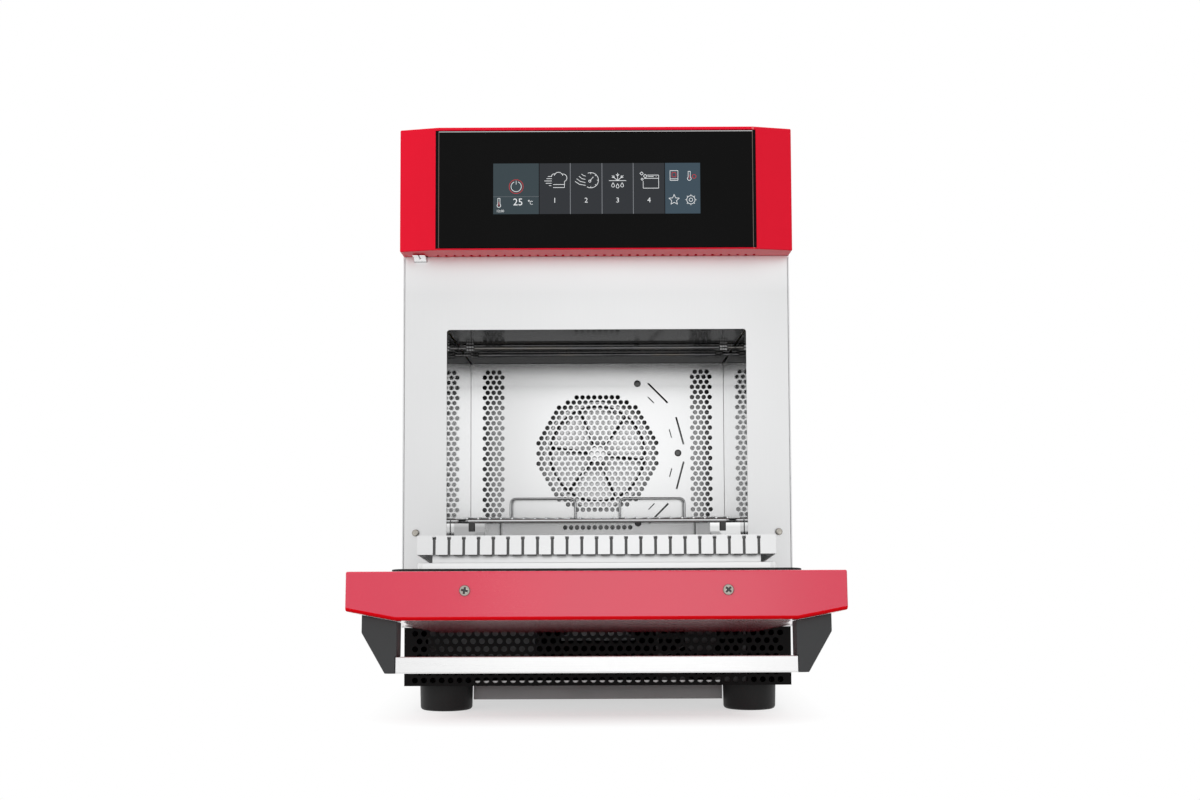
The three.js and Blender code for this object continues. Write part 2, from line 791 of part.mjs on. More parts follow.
function addMicrowaveFeed() {
  const half = waveguideWidth / 2;
  const back = waveguideFront + waveguideLength;
  const wellInner = stirrerRadius + 2 * runningGap;
  const duct = block([-half, half], [waveguideFront, back], [waveguideBottom, wellBottom]);
  const ductHollow = block(
    [-half + sheet, half - sheet],
    [waveguideFront + sheet, back - sheet],
    [waveguideBottom + sheet, wellBottom - sheet],
  );
  const wellTop = cavityFloorHeight - sheet - gap;
  const well = rodZ([wellBottom - sheet, wellTop], 0, stirrerPlace, wellInner + stirrerWellWall, fineSides);
  const wellHollow = rodZ([wellBottom, wellTop + overrun], 0, stirrerPlace, wellInner, fineSides);
  const feedHole = rodZ([wellBottom - sheet - overrun, wellBottom + overrun], 0, stirrerPlace, half / 2);
  const shaftHole = rodZ(
    [waveguideBottom - overrun, waveguideBottom + sheet + overrun],
    0,
    stirrerPlace,
    stirrerShaftRadius + runningGap,
  );
  const magnetronY = back - magnetronDepth / 2;
  const antennaHole = rodZ(
    [waveguideBottom - overrun, waveguideBottom + sheet + overrun],
    0,
    magnetronY,
    antennaRadius + runningGap,
  );
  const guide = cut(join(duct, well), wellHollow, ductHollow, feedHole, shaftHole, antennaHole);
  place('waveguide', guide, cavitySteel);

  const bladeZ = stirrerWellDepth / 2;
  const shaftEnd = waveguideBottom - gap - stirrerShaftEntry - wellBottom;
  const pieces = [
    rodZ([shaftEnd, bladeZ], 0, 0, stirrerShaftRadius),
    rodZ([bladeZ - stirrerBladeThickness, bladeZ + stirrerBladeThickness], 0, 0, stirrerHubRadius),
  ];
  for (let i = 0; i < stirrerBladeCount; i += 1) {
    const blade = block(
      [0, stirrerRadius - stirrerBladeThickness],
      [-stirrerBladeWidth / 4, stirrerBladeWidth / 4],
      [bladeZ - stirrerBladeThickness / 2, bladeZ + stirrerBladeThickness / 2],
    );
    const paddle = block(
      [stirrerRadius / 2, stirrerRadius - stirrerBladeWidth / 4],
      [-stirrerBladeWidth / 2, stirrerBladeWidth / 2],
      [bladeZ - stirrerBladeThickness / 2, bladeZ + stirrerBladeThickness / 2],
    );
    pieces.push(join(blade, paddle).rotateZ((i * 2 * Math.PI) / stirrerBladeCount));
  }
  place('mode_stirrer', join(...pieces), brushedSteel, modeStirrer);
  modeStirrer.position.set(0, stirrerPlace, wellBottom);
  oven.add(modeStirrer);

  const feedTop = waveguideBottom - gap;
  const stirrerMotor = cut(
    rodZ([feedTop - stirrerMotorHeight, feedTop], 0, stirrerPlace, stirrerMotorRadius),
    rodZ([feedTop - stirrerShaftEntry - runningGap, feedTop + overrun], 0, stirrerPlace, stirrerShaftRadius + gap),
  );
  place('stirrer_motor', stirrerMotor, greySteel);
  place('magnetron', magnetronSolid(magnetronY, feedTop), greySteel);
}

function magnetronSolid(y, top) {
  const yoke = block(
    [-magnetronWidth / 2, magnetronWidth / 2],
    [y - magnetronDepth / 2, y + magnetronDepth / 2],
    [top - magnetronHeight, top],
  );
  const finPitch = magnetronHeight / (magnetronFinCount + 1);
  const slots = [];
  for (let i = 1; i <= magnetronFinCount; i += 1) {
    const z = top - i * finPitch;
    for (const [, side] of sides) {
      slots.push(block(
        mirroredPlace([magnetronWidth / 2 - magnetronFinDepth, magnetronWidth / 2 + overrun], side),
        [y - magnetronDepth / 2 - overrun, y + magnetronDepth / 2 + overrun],
        [z - finPitch / 4, z + finPitch / 4],
      ));
    }
  }
  const antenna = rodZ([top - overrun, top + antennaHeight], 0, y, antennaRadius);
  return join(cut(yoke, ...slots), antenna);
}

// Power supply and cooling fan, standing in the base pan
const coolingFan = new THREE.Group();

function addElectrics() {
  const floor = panBottom + sheet + gap;
  const supplyLeft = -halfBody + baseInset + sheet + supplySideGap;
  const supply = block(
    [supplyLeft, supplyLeft + supplyWidth],
    [supplyFront, supplyFront + supplyDepth],
    [floor, floor + supplyHeight],
  );
  place('power_supply', supply, greySteel);

  const front = baseRecess + sheet + coolingSetback;
  const back = front + coolingDepth;
  const half = coolingSize / 2;
  const middle = floor + half;
  const boreRadius = half - coolingWall;
  const armFront = back - coolingArmThickness;
  const frame = cut(
    block([coolingPlace - half, coolingPlace + half], [front, back], [floor, floor + coolingSize]),
    rodY([front - overrun, back + overrun], coolingPlace, middle, boreRadius, fineSides),
  );
  const spider = join(
    rodY([armFront, back], coolingPlace, middle, coolingHubRadius),
    block(
      [coolingPlace - half + overrun, coolingPlace + half - overrun],
      [armFront, back],
      [middle - coolingArmWidth / 2, middle + coolingArmWidth / 2],
    ),
    block(
      [coolingPlace - coolingArmWidth / 2, coolingPlace + coolingArmWidth / 2],
      [armFront, back],
      [middle - half + overrun, middle + half - overrun],
    ),
  );
  place('cooling_fan_housing', join(frame, spider), blackPlastic);

  const rotorFront = front + runningGap;
  const rotorBack = armFront - gap;
  const pieces = [rodY([rotorFront, rotorBack], 0, 0, coolingHubRadius)];
  for (let i = 0; i < coolingBladeCount; i += 1) {
    const blade = block(
      [0, boreRadius - 2 * runningGap],
      [rotorFront, rotorBack],
      [-coolingBladeThickness / 2, coolingBladeThickness / 2],
    );
    pieces.push(blade.rotateY((i * 2 * Math.PI) / coolingBladeCount));
  }
  place('cooling_fan_rotor', join(...pieces), blackPlastic, coolingFan);
  coolingFan.position.set(coolingPlace, 0, middle);
  oven.add(coolingFan);
}

// Door switch behind the front sheet, with its plunger, and the two bumpers
const switchPlunger = new THREE.Group();

function switchBlock(margin, y0, y1) {
  const x = -halfBody + plungerInset;
  const z = hoodBottom - plungerDrop - plungerHeight / 2;
  return block(
    [x - plungerWidth / 2 - margin, x + plungerWidth / 2 + margin],
    [y0, y1],
    [z - plungerHeight / 2 - margin, z + plungerHeight / 2 + margin],
  );
}

function plungerHead(margin, y0, y1) {
  const x = -halfBody + plungerInset;
  return block(
    [x - plungerWidth / 2 - margin, x + plungerWidth / 2 + margin],
    [y0, y1],
    [hoodBottom - plungerHeadBelow - margin, hoodBottom + plungerHeadAbove + margin],
  );
}

function addSwitchAndBumpers() {
  const plunger = join(
    switchBlock(0, -plungerReach, plungerStem),
    plungerHead(0, -plungerReach, plungerHeadDepth - plungerReach),
  );
  place('door_switch_plunger', plunger, wireSteel, switchPlunger);
  oven.add(switchPlunger);
  const x = -halfBody + plungerInset;
  const z = hoodBottom - plungerDrop - plungerHeight / 2;
  const body = block(
    [x - switchWidth / 2, x + switchWidth / 2],
    [behindFascia, behindFascia + switchDepth],
    [z - switchHeight / 2, z + switchHeight / 2],
  );
  const pocket = switchBlock(gap, behindFascia - overrun, plungerStem + plungerTravel + runningGap);
  place('door_switch', cut(body, pocket), blackPlastic);

  for (const [name, side] of sides) {
    const bumper = turned([
      [0, 0],
      [bumperRadius, 0],
      [bumperRadius, bumperLength - bumperRounding],
      [bumperRadius - bumperRounding, bumperLength],
      [0, bumperLength],
    ]).rotateX(Math.PI / 2);
    const mesh = place(`door_bumper_${name}`, bumper, greySteel);
    mesh.position.set(side * (halfBody - bumperInset), -gap, cavityFloorHeight + bumperRise);
  }
}

// Hinge arms of the cabinet, through slots in the front sheet
function addHingeArms() {
  const arm = outline([
    [hingeArmInside, hingeZ - hingeArmRadius],
    [hingeArmInside, hingeZ + hingeArmRadius],
    [-hingeReach, hingeZ + hingeArmRadius],
    [-hingeReach, hingeZ - hingeArmRadius],
  ]);
  for (const [name, side] of sides) {
    const span = mirroredPlace([hingePlace - hingeArmThickness / 2, hingePlace + hingeArmThickness / 2], side);
    const holeSpan = [span[0] - overrun, span[1] + overrun];
    const solid = cut(
      join(alongX(arm, span), rodX(span, -hingeReach, hingeZ, hingeArmRadius)),
      rodX(holeSpan, -hingeReach, hingeZ, hingePinRadius + gap),
    );
    place(`hinge_arm_${name}`, solid, greySteel);
  }
}

// Door, drawn shut in the oven's own place and then swung about its hinge
const door = new THREE.Group();
const shutDoor = new THREE.Group();

function doorOutline(inset) {
  const half = halfBody - inset;
  return outline([
    [-half, -doorStandoff],
    [-half, doorFace + doorBevel + inset],
    [-halfBody + facetWidth, doorFace + inset],
    [halfBody - facetWidth, doorFace + inset],
    [half, doorFace + doorBevel + inset],
    [half, -doorStandoff],
  ]);
}

function hingeNotch(side) {
  const half = hingeArmThickness / 2 + runningGap;
  return block(
    mirroredPlace([hingePlace - half, hingePlace + half + hingePinEnd], side),
    [-hingeReach - hingeArmRadius - runningGap, -doorStandoff + overrun],
    [doorBottom - overrun, hingeZ + hingeArmRadius + runningGap],
  );
}

function addDoorPanels() {
  const shell = alongZ(doorOutline(0), [doorBottom, doorTop]);
  const hollow = alongZ(doorOutline(sheet), [doorBottom + sheet, doorTop - sheet]);
  const mouthHalf = halfBody - sheet;
  const mouth = block(
    [-mouthHalf, mouthHalf],
    [-doorStandoff - 2 * sheet, -doorStandoff + overrun],
    [doorBottom + sheet, doorTop - sheet],
  );
  const notches = sides.map(([, side]) => hingeNotch(side));
  const screwY = -doorStandoff - screwDepth;
  const screwHoles = sides.map(([, side]) => rodZ(
    [doorTop - sheet - overrun, doorTop + overrun],
    side * screwPlace,
    screwY,
    screwShankRadius + gap,
    barSides,
  ));
  place('door_outer_shell', cut(shell, hollow, mouth, ...notches, ...screwHoles), redPaint, shutDoor);

  const panelHalf = mouthHalf - gap;
  const panel = block(
    [-panelHalf, panelHalf],
    [-doorStandoff - sheet, -doorStandoff],
    [doorBottom + sheet + gap, doorTop - sheet - gap],
  );
  place('door_inner_panel', cut(panel, ...notches), brushedSteel, shutDoor);

  for (const [name, side] of sides) {
    const screw = turned([
      [0, -screwLength],
      [screwShankRadius, -screwLength],
      [screwShankRadius, 0],
      [screwHeadRadius, 0],
      [screwHeadRadius * Math.cos(Math.PI / 6), screwHeadHeight * Math.sin(Math.PI / 4)],
      [screwHeadRadius / 2, screwHeadHeight - gap],
      [0, screwHeadHeight - gap],
    ]);
    place(`door_screw_${name}`, screw, wireSteel, shutDoor)
      .position.set(side * screwPlace, screwY, doorTop + gap);
  }
}

// Gasket, raised liner and the choke comb
function addDoorSeal() {
  const gasketFace = [-doorStandoff + gap, -gap];
  const gasketHalf = halfComb + gasketMargin;
  const ring = roundedRectangle(
    [-gasketHalf, gasketHalf],
    [combBottom - gasketMargin, combTop + gasketMargin],
    gasketCorner,
  );
  const inner = gasketHalf - gasketWidth;
  const hole = block(
    [-inner, inner],
    [gasketFace[0] - overrun, gasketFace[1] + overrun],
    [combBottom - gasketMargin + gasketWidth, combTop + gasketMargin - gasketWidth],
  );
  place('door_gasket', cut(alongY(ring, gasketFace), hole), blackRubber, shutDoor);

  const linerInset = gap;
  const liner = block(
    [-halfComb + linerInset, halfComb - linerInset],
    [-doorStandoff + gap, linerFace],
    [combBottom + linerInset, combTop - linerInset],
  );
  place('door_liner', liner, brushedSteel, shutDoor);
  place('choke_comb', chokeComb(), brushedSteel, shutDoor);
}

function frameBlock([x0, x1], span, [z0, z1], wall) {
  return cut(
    block([x0, x1], span, [z0, z1]),
    block([x0 + wall, x1 - wall], [span[0] - overrun, span[1] + overrun], [z0 + wall, z1 - wall]),
  );
}

function slotPlaces(length) {
  const half = Math.floor((length / 2 - combPitch) / combPitch);
  return Array.from({ length: 2 * half + 1 }, (unused, i) => (i - half) * combPitch);
}

function chokeComb() {
  const x = [-halfComb, halfComb];
  const z = [combBottom, combTop];
  const innerX = [-halfComb + combFlange, halfComb - combFlange];
  const innerZ = [combBottom + combFlange, combTop - combFlange];
  const fingerEnd = linerFace + combFingerGap;
  const ring = join(
    frameBlock(x, [combFace - sheet, combFace], z, combFlange + sheet),
    frameBlock(x, [fingerEnd, combFace], z, sheet),
    frameBlock(innerX, [linerFace + gap, combFace], innerZ, sheet),
  );
  const slotY = [fingerEnd - overrun, combFace - combSlotTop];
  const middleZ = (combBottom + combTop) / 2;
  const slots = [];
  for (const place of slotPlaces(2 * halfComb)) {
    const across = [place - combSlot / 2, place + combSlot / 2];
    slots.push(block(across, slotY, [combTop - 2 * sheet, combTop + overrun]));
    slots.push(block(across, slotY, [combBottom - overrun, combBottom + 2 * sheet]));
  }
  for (const place of slotPlaces(combTop - combBottom)) {
    const across = [middleZ + place - combSlot / 2, middleZ + place + combSlot / 2];
    slots.push(block([halfComb - 2 * sheet, halfComb + overrun], slotY, across));
    slots.push(block([-halfComb - overrun, -halfComb + 2 * sheet], slotY, across));
  }
  return cut(ring, join(...slots));
}

// Handle: a bar between two wedge-shaped brackets
function addHandle() {
  const top = doorTop - handleInset;
  const height = [top - handleHeight, top];
  const reach = doorFace - handleReach;
  const barHalf = bracketInner + handleBarEntry;
  const barY = [reach, reach + handleBarThickness];
  const bar = alongX(roundedRectangle(barY, height, handleBarRounding), [-barHalf, barHalf]);
  place('handle_bar', bar, brushedSteel, shutDoor);

  const outer = bracketInner + bracketFoot;
  const bevelStart = halfBody - facetWidth;
  const bevelAtOuter = (doorBevel * (outer - bevelStart)) / facetWidth;
  const wedge = [
    [bracketInner, doorFace - gap],
    [bracketInner, reach],
    [bracketInner + bracketNose, reach],
    [outer, doorFace - bracketShoulder],
    [outer, doorFace + bevelAtOuter - gap],
    [bevelStart, doorFace - gap],
  ];
  for (const [name, side] of sides) {
    const seat = block(
      mirroredPlace([bracketInner - overrun, barHalf + gap], side),
      [reach - overrun, barY[1] + gap],
      [height[0] - overrun, height[1] + overrun],
    );
    const bracket = cut(alongZ(mirroredOutline(wedge, side), height), seat);
    place(`handle_bracket_${name}`, bracket, blackPlastic, shutDoor);
  }
}

// Hinge straps inside the door, each with the pin that turns in a hinge arm
function addHingeStraps() {
  for (const [name, side] of sides) {
    const strapOuter = hingePlace - hingeArmThickness / 2 - runningGap - gap;
    const strap = block(
      mirroredPlace([strapOuter - strapThickness, strapOuter], side),
      [-doorStandoff - sheet - gap - strapDepth, -doorStandoff - sheet - gap],
      [doorBottom + sheet + gap, doorBottom + sheet + gap + strapHeight],
    );
    const pinSpan = [strapOuter - strapThickness / 2, hingePlace + hingeArmThickness / 2 + hingePinEnd];
    const pin = rodX(mirroredPlace(pinSpan, side), -hingeReach, hingeZ, hingePinRadius);
    place(`hinge_strap_${name}`, join(strap, pin), greySteel, shutDoor);
  }
}

function hangDoor() {
  shutDoor.position.set(0, hingeReach, -hingeZ);
  door.add(shutDoor);
  door.position.set(0, -hingeReach, hingeZ);
  door.rotation.x = THREE.MathUtils.degToRad(doorOpening);
  oven.add(door);
}

// The origin is the middle of the footprint, on the surface that the oven stands on.
function centreOven() {
  const box = new THREE.Box3().setFromObject(oven);
  oven.position.set(-(box.min.x + box.max.x) / 2, -(box.min.y + box.max.y) / 2, -box.min.z);
}

addBase();
addFilter();
addCabinet();
addFascia();
addHood();
addCavity();
addRack();
addElements();
addConvection();
addMicrowaveFeed();
addElectrics();
addSwitchAndBumpers();
addHingeArms();
addDoorPanels();
addDoorSeal();
addHandle();
addHingeStraps();
hangDoor();
centreOven();

export default oven;
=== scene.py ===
"""Looks of a countertop convection microwave oven with a drop-down door.

Every piece is drawn in millimetres in the oven's own frame: X runs to the right, Y runs
back from the stainless front sheet and Z runs up from the worktop. The pieces of the door
are drawn shut and swung open with it. A piece is placed in metres, in the row frame.
"""

import functools
import json
import logging
import math
from dataclasses import dataclass, field
from enum import Enum
from typing import Callable, Iterable, Sequence

import bmesh
import bpy
from mathutils import Matrix, Vector


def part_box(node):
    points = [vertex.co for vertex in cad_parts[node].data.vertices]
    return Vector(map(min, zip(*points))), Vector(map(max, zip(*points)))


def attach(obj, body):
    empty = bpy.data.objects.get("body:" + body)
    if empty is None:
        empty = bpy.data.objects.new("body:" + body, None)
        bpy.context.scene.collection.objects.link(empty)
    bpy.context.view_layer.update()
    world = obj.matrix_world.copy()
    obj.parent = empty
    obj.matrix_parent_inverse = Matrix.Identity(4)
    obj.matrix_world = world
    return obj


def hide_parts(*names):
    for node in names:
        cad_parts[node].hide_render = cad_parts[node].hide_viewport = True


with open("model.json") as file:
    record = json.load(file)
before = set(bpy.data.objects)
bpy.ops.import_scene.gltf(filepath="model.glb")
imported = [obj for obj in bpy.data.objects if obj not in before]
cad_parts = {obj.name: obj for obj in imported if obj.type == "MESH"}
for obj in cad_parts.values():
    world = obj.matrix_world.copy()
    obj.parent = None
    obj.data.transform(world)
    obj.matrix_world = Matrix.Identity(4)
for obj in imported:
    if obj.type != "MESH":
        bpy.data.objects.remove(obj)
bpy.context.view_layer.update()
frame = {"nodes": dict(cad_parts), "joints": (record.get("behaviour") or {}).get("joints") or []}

LOG = logging.getLogger("oven")

Span = tuple[float, float]
Point = tuple[float, float]
Place = tuple[float, float, float]
Colour = tuple[float, float, float]

MM = 0.001
MERGE = 0.0005
WHITE = (1, 1, 1, 1)
SIDES = ((-1, "left"), (1, "right"))
FRONT_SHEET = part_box("front_fascia")[0].y
TO_ROW = Matrix.Translation((0, FRONT_SHEET, 0)) @ Matrix.Diagonal((MM, MM, MM, 1))
HINGE = next(joint for joint in frame["joints"] if joint["name"] == "door_hinge")
HINGE_PLACE = Matrix.Translation(HINGE["pos_m"])
DOOR_TURN = Matrix.Rotation(math.radians(HINGE["range_deg"][1]), 4, "X")
DOOR_TO_ROW = HINGE_PLACE @ DOOR_TURN @ HINGE_PLACE.inverted() @ TO_ROW


class Axis(Enum):
    """A direction of the oven, as the vectors across, up and along it."""

    X = ((0, 1, 0), (0, 0, 1), (1, 0, 0))
    Y = ((1, 0, 0), (0, 0, 1), (0, 1, 0))
    Z = ((1, 0, 0), (0, 1, 0), (0, 0, 1))

    @property
    def matrix(self) -> Matrix:
        """The turn from (across, up, along) to the oven's X, Y and Z."""
        return Matrix(self.value).transposed().to_4x4()

    @property
    def vector(self) -> Vector:
        """The direction itself."""
        return Vector(self.value[2])


# Shader graphs


def operator(operation: str, swapped: bool = False) -> Callable[["Wire", "Number"], "Wire"]:
    """Args:
        operation: the operation of a Math node.
        swapped: whether the wire's own value comes second.

    Returns:
        A wire's method that adds such a node.
    """

    def method(wire: "Wire", other: "Number") -> "Wire":
        """The result."""
        values = (other, wire) if swapped else (wire, other)
        return wire.graph.node("ShaderNodeMath", {"operation": operation}, dict(enumerate(values)))

    return method


class Wire:
    """A number on a shader wire. An expression on it adds its Math nodes."""

    def __init__(self, graph: "Graph", socket: bpy.types.NodeSocket) -> None:
        """Args:
            graph: the graph that the socket belongs to.
            socket: the output that carries the number.
        """
        self.graph = graph
        self.socket = socket

    __add__ = __radd__ = operator("ADD")
    __sub__ = operator("SUBTRACT")
    __rsub__ = operator("SUBTRACT", swapped=True)
    __mul__ = __rmul__ = operator("MULTIPLY")
    __truediv__ = operator("DIVIDE")
    above = operator("GREATER_THAN")
    at_most = operator("MINIMUM")
    at_least = operator("MAXIMUM")


Number = Wire | float


class Graph:
    """The node tree of one material or of the world."""

    def __init__(self, owner: bpy.types.Material | bpy.types.World) -> None:
        """Args:
            owner: the material or world that the nodes belong to.
        """
        owner.use_nodes = True
        self.owner = owner
        self.tree = owner.node_tree
        self.tree.nodes.clear()

    def node(
        self,
        kind: str,
        settings: dict | None = None,
        inputs: dict | None = None,
        output: int | str = 0,
    ) -> Wire:
        """Adds one node.

        Args:
            kind: the node's type.
            settings: its settings, such as an operation, or a ramp's stops.
            inputs: a value or a wire for each socket, by name or number.
            output: the socket to hand back.

        Returns:
            The wire from that output.
        """
        made = self.tree.nodes.new(kind)
        for name, value in (settings or {}).items():
            if name == "stops":
                self._set_stops(made.color_ramp, value)
            else:
                setattr(made, name, value)
        for key, value in (inputs or {}).items():
            if isinstance(value, Wire):
                self.tree.links.new(value.socket, made.inputs[key])
            else:
                made.inputs[key].default_value = value
        return Wire(self, made.outputs[output]) if made.outputs else None

    @staticmethod
    def _set_stops(ramp: bpy.types.ColorRamp, stops: Sequence[tuple[float, Colour]]) -> None:
        """Args:
            ramp: the ramp of a Color Ramp node.
            stops: the place and colour of each stop, in order.
        """
        while len(ramp.elements) < len(stops):
            ramp.elements.new(0.5)
        for element, (place, colour) in zip(ramp.elements, stops):
            element.position = place
            element.color = (*colour, 1)

    def place(self, scale: float | Place = 1.0) -> Wire:
        """The place on the piece, in metres, times one scale or a scale for each axis."""
        here = self.node("ShaderNodeTexCoord", output="Object")
        each = scale if isinstance(scale, tuple) else (scale,) * 3
        inputs = {"Vector": here, "Scale": each}
        return self.node("ShaderNodeMapping", {"vector_type": "POINT"}, inputs)

    def noise(self, scale: float | Place, detail: float = 2.0, roughness: float = 0.5) -> Wire:
        """Args:
            scale: how many grains lie in a metre, in all or along each axis.
            detail: the number of finer layers.
            roughness: how strong the finer layers are.

        Returns:
            A number from 0 to 1, about 0.5 in the middle.
        """
        inputs = {"Vector": self.place(scale), "Scale": 1.0}
        inputs |= {"Detail": detail, "Roughness": roughness}
        return self.node("ShaderNodeTexNoise", {"noise_dimensions": "3D"}, inputs, "Fac")

    def mix(self, share: Number, first: Colour | Wire, second: Colour | Wire) -> Wire:
        """The colour between two colours."""
        first_socket, second_socket, result = 6, 7, 2
        inputs = {0: share}
        for socket, colour in ((first_socket, first), (second_socket, second)):
            inputs[socket] = colour if isinstance(colour, Wire) else (*colour, 1)
        return self.node("ShaderNodeMix", {"data_type": "RGBA"}, inputs, result)

    def bump(self, height: Wire, distance: float, strength: float = 1.0) -> Wire:
        """The normal over a height of the given distance in metres."""
        inputs = {"Height": height, "Distance": distance, "Strength": strength}
        return self.node("ShaderNodeBump", inputs=inputs)

    def surface(self, inputs: dict) -> None:
        """Ends a material in a Principled shader with these inputs."""
        shader = self.node("ShaderNodeBsdfPrincipled", inputs=inputs)
        self.node("ShaderNodeOutputMaterial", inputs={"Surface": shader})


def shade(colour: Colour, factor: float) -> Colour:
    """The colour made darker or lighter by a factor."""
    return tuple(min(1.0, value * factor) for value in colour)


# Finishes


@dataclass(frozen=True)
class Finish:
    """A finish: its name, the record's slot that it names, which is not used, and its colour and
    gloss.
    """

    name: str
    slot: str
    colour: Colour
    roughness: float

    @functools.cache
    def material(self) -> bpy.types.Material:
        """The material, made the first time that it is asked for."""
        made = bpy.data.materials.new(self.name)
        self.paint(Graph(made))
        return made

    def tones(self, graph: Graph, share: Wire, dark: float, light: float) -> Wire:
        """The finish's colour, between a darker and a lighter tone of it."""
        return graph.mix(share, shade(self.colour, dark), shade(self.colour, light))

    def paint(self, graph: Graph) -> None:
        """Builds the nodes in the graph."""
        raise NotImplementedError


@dataclass(frozen=True)
class Steel(Finish):
    """Stainless steel, brushed along one axis or rolled bright.

    Its lines lie along the grain. Its edge is the tint of its reflection at grazing angles; set
    below one, it darkens the rims as a painted dark reflection. A fade paints light or shade along
    an axis: it names the axis, two places on it in metres, and the factor of the colour past the
    second one, where far_metal holds.
    """

    grain: Axis = Axis.X
    brushing: float = 0.5
    lines: float = 900.0
    # Below one, the edge tint paints a dark reflection on the rims.
    edge: float = 1.0
    wear: float = 0.08
    fade: tuple[str, float, float, float] | None = None
    far_metal: float = 1.0

    def paint(self, graph: Graph) -> None:
        """Fine lines along the grain, and broad faint clouds of wear."""
        length, cloud, line_depth = 14.0, 7.0, 0.00004
        scale = tuple(length if part else self.lines for part in self.grain.value[2])
        lines = graph.noise(scale, 3.0, 0.6)
        clouds = graph.noise(cloud)
        tone = lines * self.brushing + clouds * (1 - self.brushing)
        colour = self.tones(graph, tone, 0.9, 1.08)
        metal = 1.0
        # The fade paints light or shade: the colour goes to a factor of itself along one axis.
        if self.fade:
            axis, near, far, factor = self.fade
            place = graph.node("ShaderNodeSeparateXYZ", inputs={0: graph.place()}, output=axis)
            share = ((place - near) / (far - near)).at_least(0.0).at_most(1.0)
            colour = graph.mix(share, colour, shade(self.colour, factor))
            metal = metal - share * (metal - self.far_metal)
        gloss = self.roughness + (lines - 0.5) * (0.22 * self.brushing) + (clouds - 0.5) * self.wear
        graph.surface({
            "Base Color": colour,
            "Metallic": metal,
            "Roughness": gloss,
            "Specular IOR Level": 0.0,
            "Specular Tint": (self.edge, self.edge, self.edge, 1),
            "Normal": graph.bump(lines, line_depth, 0.6 * self.brushing),
        })


@dataclass(frozen=True)
class HeatedSteel(Finish):
    """Steel that has been hot: straw and blue tints on a dull grey."""

    def paint(self, graph: Graph) -> None:
        """A slow wander between grey, straw and blue."""
        wander = graph.noise(18.0, 3.0)
        straw, blue = (0.23, 0.215, 0.19), (0.17, 0.175, 0.2)
        stops = [(0.3, shade(self.colour, 0.7)), (0.5, self.colour), (0.64, straw), (0.78, blue)]
        colour = graph.node("ShaderNodeValToRGB", {"stops": stops}, {"Fac": wander})
        fine = graph.noise(900.0, 2.0)
        graph.surface({
            "Base Color": colour,
            "Metallic": 0.9,
            "Roughness": self.roughness + (fine - 0.5) * 0.15,
            "Normal": graph.bump(fine, 0.00005, 0.5),
        })


@dataclass(frozen=True)
class Enamel(Finish):
    """Gloss paint on sheet steel, with a faint orange-peel skin under a clear coat."""

    coat: float = 0.5
    level: float = 0.5
    haze: float = 0.12

    def paint(self, graph: Graph) -> None:
        """A slightly uneven colour under the coat, and a fine ripple over it."""
        clouds = graph.noise(9.0, 3.0)
        ripple = graph.noise(420.0, 2.0)
        fine = graph.noise(2600.0, 1.0)
        graph.surface({
            "Base Color": self.tones(graph, clouds, 0.93, 1.06),
            "Roughness": self.roughness + (clouds - 0.5) * 0.08 + (fine - 0.5) * 0.05,
            "Specular IOR Level": self.level,
            "Coat Weight": self.coat,
            "Coat Roughness": self.haze,
            "Normal": graph.bump(ripple, 0.00001, 0.5),
        })


@dataclass(frozen=True)
class Grained(Finish):
    """Powder coat, moulded plastic or rubber: a dull skin with a fine grain."""

    grain: float = 1400.0
    depth: float = 0.00008
    metallic: float = 0.0
    level: float = 0.5

    def paint(self, graph: Graph) -> None:
        """Grain in the surface, and a little dust in its colour."""
        grain = graph.noise(self.grain, 2.0, 0.6)
        dust = graph.noise(30.0, 4.0)
        graph.surface({
            "Base Color": self.tones(graph, dust, 0.85, 1.25),
            "Metallic": self.metallic,
            "Roughness": self.roughness + (grain - 0.5) * 0.2 + (dust - 0.5) * 0.08,
            "Specular IOR Level": self.level,
            "Normal": graph.bump(grain, self.depth, 0.7),
        })


@dataclass(frozen=True)
class Glass(Finish):
    """Opaque black glass with a polished face."""

    level: float = 0.03

    def paint(self, graph: Graph) -> None:
        """A very faint smear over the polish."""
        smear = graph.noise((14.0, 14.0, 5.0), 4.0, 0.6)
        graph.surface({
            "Base Color": self.tones(graph, smear, 0.9, 1.15),
            "Roughness": self.roughness + smear * 0.05,
            "Specular IOR Level": self.level,
        })


@dataclass(frozen=True)
class Lit(Finish):
    """A lit patch of the display, which shows its own colour."""

    def paint(self, graph: Graph) -> None:
        """The light of a screen, with the faintest fall-off between its cells."""
        cells = graph.noise(1500.0, 0.0)
        graph.surface({
            "Base Color": (0.004, 0.004, 0.004, 1),
            "Roughness": self.roughness,
            "Specular IOR Level": 0.03,
            "Emission Color": self.tones(graph, cells, 0.96, 1.04),
            "Emission Strength": 1.0,
        })


@dataclass(frozen=True)
class Ceramic(Finish):
    """A glazed ceramic plate with tiny specks."""

    def paint(self, graph: Graph) -> None:
        """Specks in a pale glaze."""
        specks = graph.noise(700.0, 2.0).above(0.66)
        clouds = graph.noise(20.0, 3.0)
        base = self.tones(graph, clouds, 0.94, 1.03)
        graph.surface({
            "Base Color": graph.mix(specks * 0.5, base, shade(self.colour, 0.6)),
            "Roughness": self.roughness + (clouds - 0.5) * 0.1,
            "Normal": graph.bump(clouds, 0.0002, 0.3),
        })


@dataclass(frozen=True)
class Wool(Finish):
    """Pressed mineral wool with loose fibres."""

    def paint(self, graph: Graph) -> None:
        """Long fibres in two directions, pressed into a mat."""
        one = graph.noise((900.0, 60.0, 900.0), 4.0, 0.7)
        other = graph.noise((60.0, 900.0, 900.0), 4.0, 0.7)
        fibres = (one + other) * 0.5
        graph.surface({
            "Base Color": self.tones(graph, fibres, 0.65, 1.25),
            "Roughness": self.roughness,
            "Normal": graph.bump(fibres, 0.0008, 1.0),
        })


